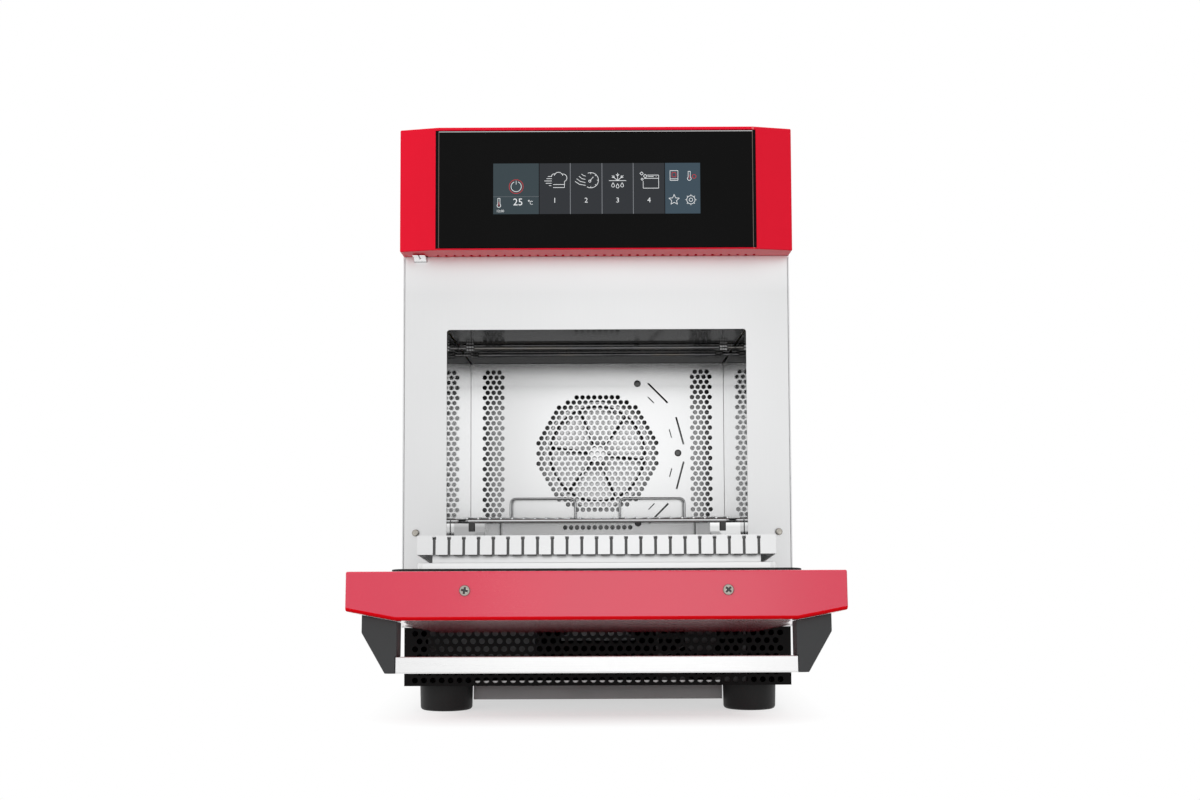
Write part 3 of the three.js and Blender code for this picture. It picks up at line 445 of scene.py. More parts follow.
@dataclass(frozen=True)
class Board(Finish):
    """A green circuit board with paler tracks."""

    def paint(self, graph: Graph) -> None:
        """Square cells of track and mask."""
        here = graph.place(260.0)
        settings = {"voronoi_dimensions": "3D", "distance": "CHEBYCHEV", "feature": "F1"}
        inputs = {"Vector": here, "Scale": 1.0}
        cells = graph.node("ShaderNodeTexVoronoi", settings, inputs, "Distance")
        track = cells.above(0.42)
        graph.surface({
            "Base Color": graph.mix(track, self.colour, shade(self.colour, 2.2)),
            "Roughness": self.roughness - track * 0.1,
            "Normal": graph.bump(track, 0.00004, 0.5),
        })


# What the pieces are made of

RED = Enamel("red_enamel", "red_paint", (0.87, 0.006, 0.03), 0.36, coat=0.0, level=0.12)
RED_DOOR = Enamel(
    "red_door_enamel", "red_paint", (0.75, 0.006, 0.055), 0.26,
    coat=1.0, level=0.5, haze=0.14,
)
# Painted shade: a matt copy of the door's red, without coat or sheen, for the fold between its top
# edge and its front.
RED_FOLD_SHADE = Enamel("red_fold_shade_enamel", "red_paint", (0.85, 0.002, 0.008), 0.4, coat=0.0, level=0.05)
# Painted highlight: a glossier, paler copy of the hood's red for its right front fold.
RED_FOLD_HIGHLIGHT = Enamel(
    "red_fold_highlight_enamel", "red_paint", (0.85, 0.02, 0.04), 0.2,
    coat=1.0, level=1.0, haze=0.2,
)
# Painted highlight: the front sheet's colour rises by 1.13 just under the hood.
SHEET = Steel(
    "brushed_sheet", "brushed_steel", (0.71, 0.714, 0.717), 0.33,
    grain=Axis.Z, brushing=0.2, fade=("Z", 0.43, 0.463, 1.13),
)
PANEL = Steel(
    "brushed_panel", "brushed_steel", (0.74, 0.745, 0.75), 0.36,
    grain=Axis.Y, brushing=0.6,
)
DOOR_PANEL = Steel("brushed_door_panel", "brushed_steel", (0.74, 0.745, 0.75), 0.34, brushing=0.6)
LINER = Steel("pressed_liner", "brushed_steel", (0.84, 0.843, 0.846), 0.36, brushing=0.3)
# Painted shade: near-black strips behind the comb's fingers.
COMB_SHADE = Steel("shaded_comb", "brushed_steel", (0.1, 0.1, 0.1), 0.4, brushing=0.2, edge=0.2)
COMB = Steel("pressed_comb", "brushed_steel", (0.69, 0.693, 0.696), 0.3, brushing=0.35)
BAR = Steel("brushed_bar", "handle_steel", (0.79, 0.79, 0.79), 0.3, brushing=0.8, lines=1300.0)
# Painted shade: the lining falls to 0.6 of its colour below 188 mm, over the cavity floor and the
# foot of the walls and channels.
LINING = Steel(
    "bright_lining", "cavity_steel", (0.66, 0.663, 0.666), 0.035,
    grain=Axis.Y, brushing=0.02, wear=0.03, fade=("Z", 0.195, 0.188, 0.6),
)
# Painted highlight: the rear wall's colour rises by 1.64 towards its top edge, from 360 mm up.
REAR_WALL = Steel(
    "bright_rear_wall", "cavity_steel", (0.6, 0.603, 0.606), 0.19,
    grain=Axis.Z, brushing=0.02, fade=("Z", 0.36, 0.379, 1.64),
)
# Painted shade: the ceiling falls to 0.05 of its colour, and to little metal, towards the back.
CEILING = Steel(
    "dark_ceiling", "cavity_steel", (0.52, 0.52, 0.525), 0.08,
    brushing=0.1, edge=0.14, fade=("Y", 0.02, 0.15, 0.05), far_metal=0.28,
)
CLIP = Steel("clip_steel", "cavity_steel", (0.05, 0.05, 0.05), 0.25, brushing=0.1, edge=0.2)
DUCT = Steel("duct_steel", "cavity_steel", (0.6, 0.61, 0.62), 0.35, grain=Axis.Y, brushing=0.4)
WIRE = Steel(
    "bright_wire", "wire_steel", (0.6, 0.605, 0.61), 0.12,
    grain=Axis.Y, brushing=0.1, edge=0.1,
)
SCREW = Steel(
    "screw_steel", "wire_steel", (0.42, 0.4, 0.36), 0.22,
    grain=Axis.Z, brushing=0.2, edge=0.2,
)
DARK_SCREW = Steel(
    "dull_screw", "wire_steel", (0.16, 0.16, 0.16), 0.35,
    grain=Axis.Z, brushing=0.2, edge=0.4,
)
# Painted shade: near-black steel for the rack's hooks and the floor of the door screws' recesses.
SHADE_BLACK = Steel(
    "painted_shade_black_steel", "wire_steel", (0.06, 0.06, 0.06), 0.3,
    grain=Axis.Z, brushing=0.1, edge=0.2,
)
BRIGHT = Steel("bright_plunger", "wire_steel", (0.86, 0.86, 0.86), 0.12, brushing=0.1)
FAN = Steel("fan_plate_steel", "fan_steel", (0.46, 0.462, 0.465), 0.16, brushing=0.1)
BLADE = Steel("fan_blade_steel", "fan_steel", (0.02, 0.02, 0.02), 0.3, brushing=0.1, edge=0.1)
# Painted shade, seen through the rear wall's holes: the plenum's grey steel is kept darker than the
# steel itself, and falls to a quarter towards its top.
PLENUM = Steel(
    "plenum_steel", "grey_steel", (0.36, 0.362, 0.365), 0.2,
    grain=Axis.Z, brushing=0.2, fade=("Z", 0.33, 0.356, 0.25),
)
HEATER = HeatedSteel("heater_tube", "heater_steel", (0.2, 0.2, 0.205), 0.25)
BLACK_COAT = Grained(
    "black_powder_coat", "black_paint", (0.0035, 0.0035, 0.0035), 0.5,
    grain=1800.0, level=0.1,
)
# Painted light: a pale strip behind the lowest holes of the base cover, where light shows through.
LIGHT_STRIP = Steel("base_light_strip_steel", "grey_steel", (0.42, 0.42, 0.42), 0.35, brushing=0.4)
PLASTIC = Grained("black_plastic", "black_plastic", (0.025, 0.026, 0.027), 0.55, grain=1500.0)
RUBBER = Grained(
    "dull_rubber", "black_rubber", (0.01, 0.01, 0.01), 0.5,
    grain=900.0, depth=0.00005, level=0.25,
)
SEAL = Grained(
    "glass_seal", "black_rubber", (0.004, 0.004, 0.004), 0.6,
    grain=900.0, depth=0.00005, level=0.1,
)
GREY_STEEL = Grained(
    "grey_steel", "grey_steel", (0.18, 0.18, 0.185), 0.42,
    grain=1600.0, depth=0.00003, metallic=0.6,
)
FILTER = Grained("grey_filter", "grey_filter", (0.41, 0.41, 0.413), 0.5, grain=1300.0)
ALUMINIUM = Grained(
    "grey_aluminium", "grey_aluminium", (0.45, 0.45, 0.46), 0.4,
    grain=1200.0, metallic=0.9,
)
GLASS = Glass("black_glass", "black_glass", (0.006, 0.006, 0.006), 0.06)
TRIM = Steel("polished_trim", "wire_steel", (0.7, 0.7, 0.7), 0.15, brushing=0.1)
DULL_TRIM = Steel(
    "dull_trim", "wire_steel", (0.16, 0.12, 0.11), 0.3,
    grain=Axis.Z, brushing=0.1, edge=0.3,
)
DISPLAY = Grained("display_case", "dark_display", (0.012, 0.016, 0.02), 0.35)
CERAMIC = Ceramic("white_ceramic", "white_ceramic", (0.8, 0.78, 0.72), 0.35)
WOOL = Wool("mineral_wool", "mineral_wool", (0.68, 0.62, 0.48), 0.95)
BOARD = Board("green_board", "green_board", (0.015, 0.1, 0.035), 0.5)
TILE_GREEN = Lit("tile_green_grey", "dark_display", (0.045, 0.063, 0.072), 0.2)
TILE_GREY = Lit("tile_grey", "dark_display", (0.033, 0.036, 0.041), 0.2)
TILE_BLUE = Lit("tile_blue_grey", "dark_display", (0.05, 0.078, 0.102), 0.2)
MARK_WHITE = Lit("mark_white", "dark_display", (0.8, 0.82, 0.83), 0.2)
MARK_RED = Lit("mark_red", "dark_display", (0.62, 0.04, 0.045), 0.2)
MARK_GREY = Lit("mark_grey", "dark_display", (0.24, 0.25, 0.27), 0.2)


# Shapes


def linked(name: str, data: bpy.types.ID) -> bpy.types.Object:
    """A new object of the scene that holds this data."""
    made = bpy.data.objects.new(name, data)
    bpy.context.scene.collection.objects.link(made)
    return made


def baked(thing: bpy.types.Object) -> bpy.types.Mesh:
    """A new mesh of the object as its modifiers leave it."""
    graph = bpy.context.evaluated_depsgraph_get()
    return bpy.data.meshes.new_from_object(thing.evaluated_get(graph))


def of_kind(parts: Iterable, kind: type) -> list:
    """The parts of a result of bmesh that are of one kind."""
    return [part for part in parts if isinstance(part, kind)]


def about(middle: float, half: float) -> Span:
    """The span that reaches as far to both sides of a place."""
    return (middle - half, middle + half)


def in_row(count: int, pitch: float) -> list[float]:
    """Places at an even pitch, with the middle of the row at zero."""
    return [(number - (count - 1) / 2) * pitch for number in range(count)]


class Shape:
    """A mesh that is drawn in millimetres in the oven's own frame."""

    def __init__(self) -> None:
        """Starts with nothing."""
        self.bm = bmesh.new()

    @classmethod
    def of_node(cls, node: str) -> "Shape":
        """Args:
            node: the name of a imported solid.

        Returns:
            A copy of it with its loose triangles merged into flat faces.
        """
        merge, flat = 0.004, math.radians(0.4)
        shape = cls()
        bm = shape.bm
        bm.from_mesh(frame["nodes"][node].data)
        bm.transform(TO_ROW.inverted())
        bmesh.ops.remove_doubles(bm, verts=bm.verts[:], dist=merge)
        bmesh.ops.dissolve_limit(bm, angle_limit=flat, verts=bm.verts[:], edges=bm.edges[:])
        return shape

    def box(self, x: Span, y: Span, z: Span) -> "Shape":
        """Adds a block over three spans."""
        middle = Matrix.Translation([(low + high) / 2 for low, high in (x, y, z)])
        size = Matrix.Diagonal([high - low for low, high in (x, y, z)]).to_4x4()
        bmesh.ops.create_cube(self.bm, size=1, matrix=middle @ size)
        return self

    def rod(
        self, axis: Axis, span: Span, across: float, up: float, radius: float, sides: int = 24
    ) -> "Shape":
        """Adds a round rod.

        Args:
            axis: the direction that it runs in.
            span: where it starts and ends along that axis.
            across: its place on the first of the two other axes.
            up: its place on the second.
            radius: its radius.
            sides: the facets round it.

        Returns:
            The shape itself.
        """
        size = {"segments": sides, "radius1": radius, "radius2": radius, "depth": span[1] - span[0]}
        middle = axis.matrix @ Matrix.Translation((across, up, sum(span) / 2))
        bmesh.ops.create_cone(self.bm, cap_ends=True, matrix=middle, **size)
        return self

    def prism(self, axis: Axis, span: Span, points: Sequence[Point]) -> "Shape":
        """Adds a flat outline, pulled along an axis.

        Args:
            axis: the direction of the pull.
            span: where it starts and ends.
            points: the outline's corners on the two other axes.

        Returns:
            The shape itself.
        """
        self._pull([self.bm.faces.new(self._corners(axis, span, points))], axis, span)
        return self

    def _corners(self, axis: Axis, span: Span, points: Sequence[Point]) -> list[bmesh.types.BMVert]:
        """Adds the corners of an outline at the start of a span along an axis."""
        return [self.bm.verts.new(axis.matrix @ Vector((u, v, span[0]))) for u, v in points]

    def _pull(self, faces: list[bmesh.types.BMFace], axis: Axis, span: Span) -> None:
        """Extrudes flat faces along an axis from the start of a span to its end."""
        made = bmesh.ops.extrude_face_region(self.bm, geom=faces)["geom"]
        moved = of_kind(made, bmesh.types.BMVert)
        bmesh.ops.translate(self.bm, verts=moved, vec=axis.vector * (span[1] - span[0]))

    def _ring(
        self, place: Matrix, radius: float, sides: int, filled: bool
    ) -> list[bmesh.types.BMEdge]:
        """Adds a circle round the Z of a matrix, with or without a face, and returns its edges."""
        settings = {"cap_ends": filled, "radius": radius, "segments": sides, "matrix": place}
        ring = bmesh.ops.create_circle(self.bm, **settings)
        return list({edge for vert in ring["verts"] for edge in vert.link_edges})

    def plate(
        self,
        axis: Axis,
        span: Span,
        outlines: Sequence[Sequence[Point]],
        holes: Iterable[Point] = (),
        radius: float = 1.0,
        sides: int = 10,
    ) -> "Shape":
        """Adds a flat sheet with openings and round holes.

        Args:
            axis: the direction through the sheet.
            span: where its two faces lie.
            outlines: its outer edge, then the edges of its openings.
            holes: the middles of its round holes.
            radius: the radius of the holes.
            sides: the facets of a hole.

        Returns:
            The shape itself.
        """
        edges = []
        for points in outlines:
            corners = self._corners(axis, span, points)
            edges += [self.bm.edges.new(pair) for pair in zip(corners, corners[1:] + corners[:1])]
        for u, v in holes:
            place = axis.matrix @ Matrix.Translation((u, v, span[0]))
            edges += self._ring(place, radius, sides, filled=False)
        filled = bmesh.ops.triangle_fill(
            self.bm, use_beauty=True, use_dissolve=False, edges=edges, normal=axis.vector
        )
        self._pull(of_kind(filled["geom"], bmesh.types.BMFace), axis, span)
        return self

    def turned(
        self, axis: Axis, middle: Place, profile: Sequence[Point], steps: int = 48
    ) -> "Shape":
        """Spins a profile round an axis.

        Args:
            axis: the axis of the spin.
            middle: a point on it.
            profile: pairs of a radius and a place along the axis, from the middle.
            steps: the facets round it.

        Returns:
            The shape itself.
        """
        start = Matrix.Translation(middle) @ axis.matrix
        verts = [self.bm.verts.new(start @ Vector((radius, 0, along))) for radius, along in profile]
        edges = [self.bm.edges.new(pair) for pair in zip(verts, verts[1:])]
        whole = {"angle": math.tau, "steps": steps, "use_merge": True}
        bmesh.ops.spin(self.bm, geom=verts + edges, cent=middle, axis=axis.vector, **whole)
        return self

    def tube(
        self, stops: Sequence[Place], radius: float, bend: float, sides: int = 10, steps: int = 5
    ) -> "Shape":
        """Adds a round wire along straight runs, with a bend where two runs meet.

        Args:
            stops: the corners of its middle line.
            radius: the radius of the wire.
            bend: the radius of the bends.
            sides: the facets round the wire.
            steps: the steps of a bend.

        Returns:
            The shape itself.
        """
        points = [Vector(stop) for stop in stops]
        heading = (points[1] - points[0]).normalized()
        start = Matrix.Translation(points[0]) @ heading.to_track_quat("Z", "Y").to_matrix().to_4x4()
        edges = self._ring(start, radius, sides, filled=True)
        here = points[0]
        for number in range(1, len(points)):
            corner, last = points[number], number == len(points) - 1
            turn = 0.0 if last else heading.angle(points[number + 1] - corner)
            end = corner - heading * (bend * math.tan(turn / 2))
            made = bmesh.ops.extrude_edge_only(self.bm, edges=edges)["geom"]
            bmesh.ops.translate(self.bm, verts=of_kind(made, bmesh.types.BMVert), vec=end - here)
            edges = of_kind(made, bmesh.types.BMEdge)
            if last:
                bmesh.ops.edgeloop_fill(self.bm, edges=edges)
                break
            following = (points[number + 1] - corner).normalized()
            axis = heading.cross(following).normalized()
            centre = end + axis.cross(heading) * bend
            verts = list({vert for edge in edges for vert in edge.verts})
            bent = {"cent": centre, "axis": axis, "angle": turn, "steps": steps}
            spun = bmesh.ops.spin(self.bm, geom=verts + edges, **bent)
            edges = of_kind(spun["geom_last"], bmesh.types.BMEdge)
            heading, here = following, corner + following * (bend * math.tan(turn / 2))
        return self

    def add(self, other: "Shape", matrix: Matrix | None = None) -> "Shape":
        """Adds a copy of another shape, moved by a matrix."""
        held = bpy.data.meshes.new("held")
        other.bm.to_mesh(held)
        if matrix:
            held.transform(matrix)
        self.bm.from_mesh(held)
        bpy.data.meshes.remove(held)
        return self

    def turn(self, matrix: Matrix) -> "Shape":
        """Moves the whole shape by a matrix."""
        self.bm.transform(matrix)
        return self

    def soften(
        self, width: float, segments: int = 2, angle: float = 30.0, along: Axis | None = None
    ) -> "Shape":
        """Rounds the sharp edges.

        Args:
            width: the width of the rounding.
            segments: its steps.
            angle: the least angle between two faces of a sharp edge, in degrees.
            along: only edges in this direction are rounded, if it is given.

        Returns:
            The shape itself.
        """
        bmesh.ops.recalc_face_normals(self.bm, faces=self.bm.faces[:])
        limit = math.radians(angle)
        sharp = [e for e in self.bm.edges if e.is_manifold and e.calc_face_angle() > limit]
        if along:
            parallel = 0.999
            ways = {edge: (edge.verts[1].co - edge.verts[0].co).normalized() for edge in sharp}
            sharp = [edge for edge in sharp if abs(ways[edge].dot(along.vector)) > parallel]
        return self.bevel(sharp, width, segments)

    def bevel(self, edges: list[bmesh.types.BMEdge], width: float, segments: int) -> "Shape":
        """Rounds these edges with a width in a number of steps."""
        bmesh.ops.bevel(
            self.bm,
            geom=edges,
            offset=width,
            offset_type="OFFSET",
            affect="EDGES",
            segments=segments,
            profile=0.5,
            clamp_overlap=True,
            material=-1,
        )
        return self

    def cut(self, *tools: "Shape") -> "Shape":
        """Takes other shapes out of this one."""
        body = self._held("body")
        for tool in tools:
            knife = tool._held("knife")
            cutter = body.modifiers.new("cut", "BOOLEAN")
            cutter.operation, cutter.solver, cutter.object = "DIFFERENCE", "EXACT", knife
        result = baked(body)
        self.bm = bmesh.new()
        self.bm.from_mesh(result)
        for thing in [body] + [cutter.object for cutter in body.modifiers]:
            bpy.data.objects.remove(thing)
        bpy.data.meshes.remove(result)
        return self

    def _mesh(self, name: str, merge: float) -> bpy.types.Mesh:
        """Ends the shape as a mesh, with its closest corners merged and its faces pointing out."""
        bmesh.ops.remove_doubles(self.bm, verts=self.bm.verts[:], dist=merge)
        bmesh.ops.recalc_face_normals(self.bm, faces=self.bm.faces[:])
        mesh = bpy.data.meshes.new(name)
        self.bm.to_mesh(mesh)
        self.bm.free()
        return mesh

    def _held(self, name: str) -> bpy.types.Object:
        """The shape as an object of the scene."""
        return linked(name, self._mesh(name, MERGE))

    def placed(self, name: str, matrix: Matrix, smooth: float) -> bpy.types.Object:
        """Makes the piece's object, with its place in its mesh.

        Args:
            name: the piece's name.
            matrix: the way from the oven's own frame to the row frame.
            smooth: edges flatter than this many degrees are shaded smooth.

        Returns:
            The object, at the origin.
        """
        draft = self.turn(matrix)._mesh("draft", MERGE * MM)
        draft.shade_smooth()
        draft.set_sharp_from_angle(angle=math.radians(smooth))
        piece = linked(name, draft)
        even = piece.modifiers.new("even", "WEIGHTED_NORMAL")
        even.mode, even.weight, even.keep_sharp = "FACE_AREA", 90, True
        piece.data = baked(piece)
        piece.data.name = name
        piece.modifiers.clear()
        bpy.data.meshes.remove(draft)
        return piece


def arc(middle: Point, radius: float, start: float, end: float, steps: int) -> list[Point]:
    """Args:
        middle: the middle of the arc.
        radius: its radius.
        start: the angle where it starts, in degrees.
        end: the angle where it ends.
        steps: the steps between them.

    Returns:
        The points along it.
    """
    angles = [math.radians(start + (end - start) * step / steps) for step in range(steps + 1)]
    return [(middle[0] + radius * math.cos(a), middle[1] + radius * math.sin(a)) for a in angles]


def spot(middle: Point, radius: float, angle: float) -> Point:
    """The point of a circle at an angle in degrees."""
    return arc(middle, radius, angle, angle, 1)[0]


def rectangle(u: Span, v: Span) -> list[Point]:
    """The four corners of a rectangle."""
    return [(u[0], v[0]), (u[1], v[0]), (u[1], v[1]), (u[0], v[1])]


def both_halves(left: list[Point]) -> list[Point]:
    """The left half of an outline, and its mirror image back."""
    return left + [(-u, v) for u, v in reversed(left)]


def facing(side: int, low: float, high: float) -> Span:
    """The span that is given for the right side, as it lies on the side asked for."""
    return (low, high) if side > 0 else (-high, -low)


def pan_screw(radius: float = 4.0, height: float = 2.0) -> Shape:
    """A pan-head screw with a cross recess, its seat at the origin and its head along +Z."""
    rim, round_over, foot = height * 0.2, height * 0.8, -0.6
    crown = arc((radius - round_over, rim), round_over, 0, 70, 4)
    profile = [(0, foot), (radius, foot), (radius, rim), *crown[1:], (0, height)]
    head = Shape().turned(Axis.Z, (0, 0, 0), profile, 20)
    blade, reach = about(0, radius * 0.2), about(0, radius * 0.62)
    depth = (height * 0.1, height + 1)
    return head.cut(Shape().box(blade, reach, depth), Shape().box(reach, blade, depth))


@dataclass
class Assembly:
    """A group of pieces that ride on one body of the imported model."""

    body: str = "cabinet"
    matrix: Matrix = field(default_factory=lambda: TO_ROW)

    def add(
        self, shape: Shape, name: str, finish: Finish, *nodes: str, smooth: float = 32.0
    ) -> bpy.types.Object:
        """Places a piece, gives it its finish and hangs it on its body.

        Args:
            shape: the piece's shape.
            name: the piece's name.
            finish: what it is made of.
            nodes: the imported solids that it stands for.
            smooth: edges flatter than this many degrees are shaded smooth.

        Returns:
            The piece.
        """
        piece = shape.placed(name, self.matrix, smooth)
        piece.data.materials.append(finish.material())
        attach(piece, self.body)
        if nodes:
            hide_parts(*nodes)
        LOG.info("%s on %s: %d faces", name, self.body, len(piece.data.polygons))
        return piece

    def refine(
        self, node: str, finish: Finish, width: float, segments: int = 2
    ) -> bpy.types.Object:
        """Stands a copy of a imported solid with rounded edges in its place.

        Args:
            node: the solid.
            finish: what it is made of.
            width: the width of the rounding.
            segments: the steps of the rounding.

        Returns:
            The piece.
        """
        matrix, self.matrix = self.matrix, TO_ROW
        piece = self.add(Shape.of_node(node).soften(width, segments), f"{node}_fine", finish, node)
        self.matrix = matrix
        return piece

    def dress(self, node: str, finish: Finish) -> None:
        """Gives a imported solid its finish."""
        solid = frame["nodes"][node]
        solid.material_slots[0].material = finish.material()
        LOG.info("%s keeps its solid", node)


# The oven


@dataclass
class Base(Assembly):
    """Feet, pan, perforated front cover and the air filter's rails."""

    foot_radius: float = 27.5
    foot_height: float = 27.0
    foot_rounding: float = 3.2
    foot_chamfer: float = 0.6
    foot_well: Point = (8.0, 6.0)
    foot_x: float = 157.7
    foot_y: tuple[tuple[str, float], ...] = (("front", 42.0), ("rear", 518.0))
    screw_size: Point = (4.5, 2.4)
    screw_seat: float = 5.8
    cover_x: Span = (-197.5, 197.5)
    cover_y: Span = (3.0, 4.5)
    cover_z: Span = (27.3, 86.3)
    hole_radius: float = 3.05
    hole_pitch: float = 9.1
    hole_rows: int = 7
    hole_row_pitch: float = 7.9
    hole_drop: float = 0.15
    light_strip: tuple[Span, Span, Span] = ((-125.0, 125.0), (5.4, 6.4), (28.8, 32.3))

    def build(self) -> None:
        """Builds the base."""
        self.feet()
        self.refine("base_pan", BLACK_COAT, 0.3)
        self.cover()
        for _, side in SIDES:
            self.refine(f"filter_rail_{side}", GREY_STEEL, 0.3)

    def feet(self) -> None:
        """Four turned rubber feet, each with a screw up its middle."""
        r, h, c, chamfer = self.foot_radius, self.foot_height, self.foot_rounding, self.foot_chamfer
        well, depth = self.foot_well
        profile = [(0, depth), (well, depth), (well + chamfer, chamfer), (well + 1.4, 0)]
        profile += arc((r - c - chamfer, c), c, -90, 0, 6)
        profile += [(r, h - chamfer), (r - chamfer, h), (0, h)]
        down = Matrix.Rotation(math.pi, 4, "X")
        for name, y in self.foot_y:
            for side, label in SIDES:
                x = side * self.foot_x
                foot = Shape().turned(Axis.Z, (x, y, 0), profile, 64)
                self.add(foot, f"foot_{name}_{label}_turned", RUBBER, f"foot_{name}_{label}")
                seat = Matrix.Translation((x, y, self.screw_seat)) @ down
                screw = Shape().add(pan_screw(*self.screw_size), seat)
                self.add(screw, f"foot_{name}_{label}_screw", SCREW)

    def cover(self) -> None:
        """The black cover with seven staggered rows of holes, and a pale strip of painted light
        behind its lowest holes.
        """
        middle = sum(self.cover_z) / 2 - self.hole_drop
        most = int((self.cover_x[1] - self.cover_x[0] - self.hole_pitch) / self.hole_pitch)
        holes = [
            (x, middle + z)
            for row, z in enumerate(in_row(self.hole_rows, self.hole_row_pitch))
            for x in in_row(most - row % 2, self.hole_pitch)
        ]
        outline = rectangle(self.cover_x, self.cover_z)
        sheet = Shape().plate(Axis.Y, self.cover_y, [outline], holes, self.hole_radius, 12)
        self.add(sheet, "base_cover_perforated", BLACK_COAT, "base_grille")
        # The pale strip shows in the lowest holes as painted light coming through them.
        self.add(Shape().box(*self.light_strip).soften(0.2, 1), "base_cover_light_strip", LIGHT_STRIP)


@dataclass
class AirFilter(Assembly):
    """The air filter that slides out between the front feet."""

    body: str = "filter"

    def build(self) -> None:
        """Builds the filter."""
        self.refine("filter_tray", FILTER, 0.6)


@dataclass
class Cabinet(Assembly):
    """Side panels with outlets, top cover, rear panel with louvres, and the cord's gland."""

    half: float = 200.0
    depth: Span = (1.8, 560.0)
    panel_z: Span = (86.6, 592.7)
    cover_z: Span = (593.0, 594.5)
    sheet: float = 1.5
    screw_size: Point = (3.6, 1.8)
    screw_sink: float = 1.9
    side_screws: tuple[Point, ...] = ((40.0, 97.0), (280.0, 97.0), (520.0, 97.0))
    rear_screw_x: tuple[float, ...] = (-189.0, 0.0, 189.0)
    rear_screw_z: tuple[float, ...] = (97.0, 340.0, 583.5)
    outlet_y: Span = (430.0, 512.0)
    outlet_z: Span = (118.0, 196.0)
    outlet_pitch: float = 9.2
    outlet_radius: float = 2.9
    louvre_x: Span = (45.0, 115.0)
    louvre_reach: float = 4.2
    louvre_rows: int = 9
    louvre_top: float = 534.5
    louvre_pitch: float = 12.0
    gland_place: Point = (-150.0, 112.6)
    gland_radius: float = 9.8
    bore_radius: float = 6.0
    nut_radius: float = 14.0

    def build(self) -> None:
        """Builds the cabinet."""
        for side, label in SIDES:
            self.side(side, label)
        cover = Shape().box(about(0, self.half), self.depth, self.cover_z)
        self.add(cover.soften(0.5), "top_cover_folded", PANEL, "top_cover")
        self.rear()
        self.gland()

    def side(self, side: int, label: str) -> None:
        """One side panel with its field of outlet holes and its screws."""
        (front, back), (low, high), pitch = self.outlet_y, self.outlet_z, self.outlet_pitch
        row_pitch = pitch * math.sqrt(3) / 2
        holes = [
            (front + (column + (row % 2) / 2) * pitch, low + row * row_pitch)
            for row in range(int((high - low) / row_pitch))
            for column in range(int((back - front) / pitch))
        ]
        outline = rectangle(self.depth, self.panel_z)
        x = facing(side, self.half - self.sheet, self.half)
        panel = Shape().plate(Axis.X, x, [outline], holes, self.outlet_radius, 10)
        self.add(panel, f"side_panel_{label}_pierced", PANEL, f"side_panel_{label}")
        screws = Shape()
        turn = Matrix.Rotation(side * math.pi / 2, 4, "Y")
        for y, z in self.side_screws:
            place = (side * (self.half - self.screw_sink), y, z)
            screws.add(pan_screw(*self.screw_size), Matrix.Translation(place) @ turn)
        self.add(screws, f"side_panel_{label}_screws", SCREW)

    def rear(self) -> None:
        """The rear panel: its slots get pressed hoods, and its edge gets screws."""
        self.refine("rear_panel", PANEL, 0.25, 1)
        hoods, screws = Shape(), Shape()
        face, reach = self.depth[1], self.louvre_reach
        outer = [(-0.2, 2.2), (reach * 0.5, 1.2), (reach, -2.2)]
        inner = [(reach - 0.8, -2.2), (reach * 0.4, 0.0), (-0.2, 0.9)]
        for row in range(self.louvre_rows):
            z = self.louvre_top - row * self.louvre_pitch
            for side, _ in SIDES:
                hood = [(face + out, z + up) for out, up in outer + inner]
                hoods.prism(Axis.X, facing(side, *self.louvre_x), hood)
        self.add(hoods.soften(0.25, 1, 20.0), "rear_louvres", PANEL)
        turn = Matrix.Rotation(-math.pi / 2, 4, "X")
        for z in self.rear_screw_z:
            for x in self.rear_screw_x:
                if (x, z) != (self.rear_screw_x[1], self.rear_screw_z[1]):
                    screws.add(pan_screw(*self.screw_size), Matrix.Translation((x, face, z)) @ turn)
        self.add(screws, "rear_screws", SCREW)

    def gland(self) -> None:
        """The cord's gland: a flanged nut and a domed cap with an empty bore."""
        x, z = self.gland_place
        face = self.depth[1]
        nut = Shape().rod(Axis.Y, (face + 0.3, face + 7.3), x, z, self.nut_radius, 6).soften(0.9)
        bore = Shape().rod(Axis.Y, (face - 12, face + 30), x, z, self.bore_radius, 32)
        r = self.gland_radius
        dome = arc((6.5, 14.5), 3.5, 0, 90, 6)
        profile = [(0, -8.4), (r, -8.4), (r, 8.0), (r + 0.2, 9.5), *dome, (0, 18.0)]
        cap = Shape().turned(Axis.Y, (x, face, z), profile, 48).cut(bore)
        room = Shape().rod(Axis.Y, (face - 1, face + 9), x, z, r + 0.1, 48)
        self.add(cap.add(nut.cut(room)), "cord_gland_turned", PLASTIC, "cord_gland")


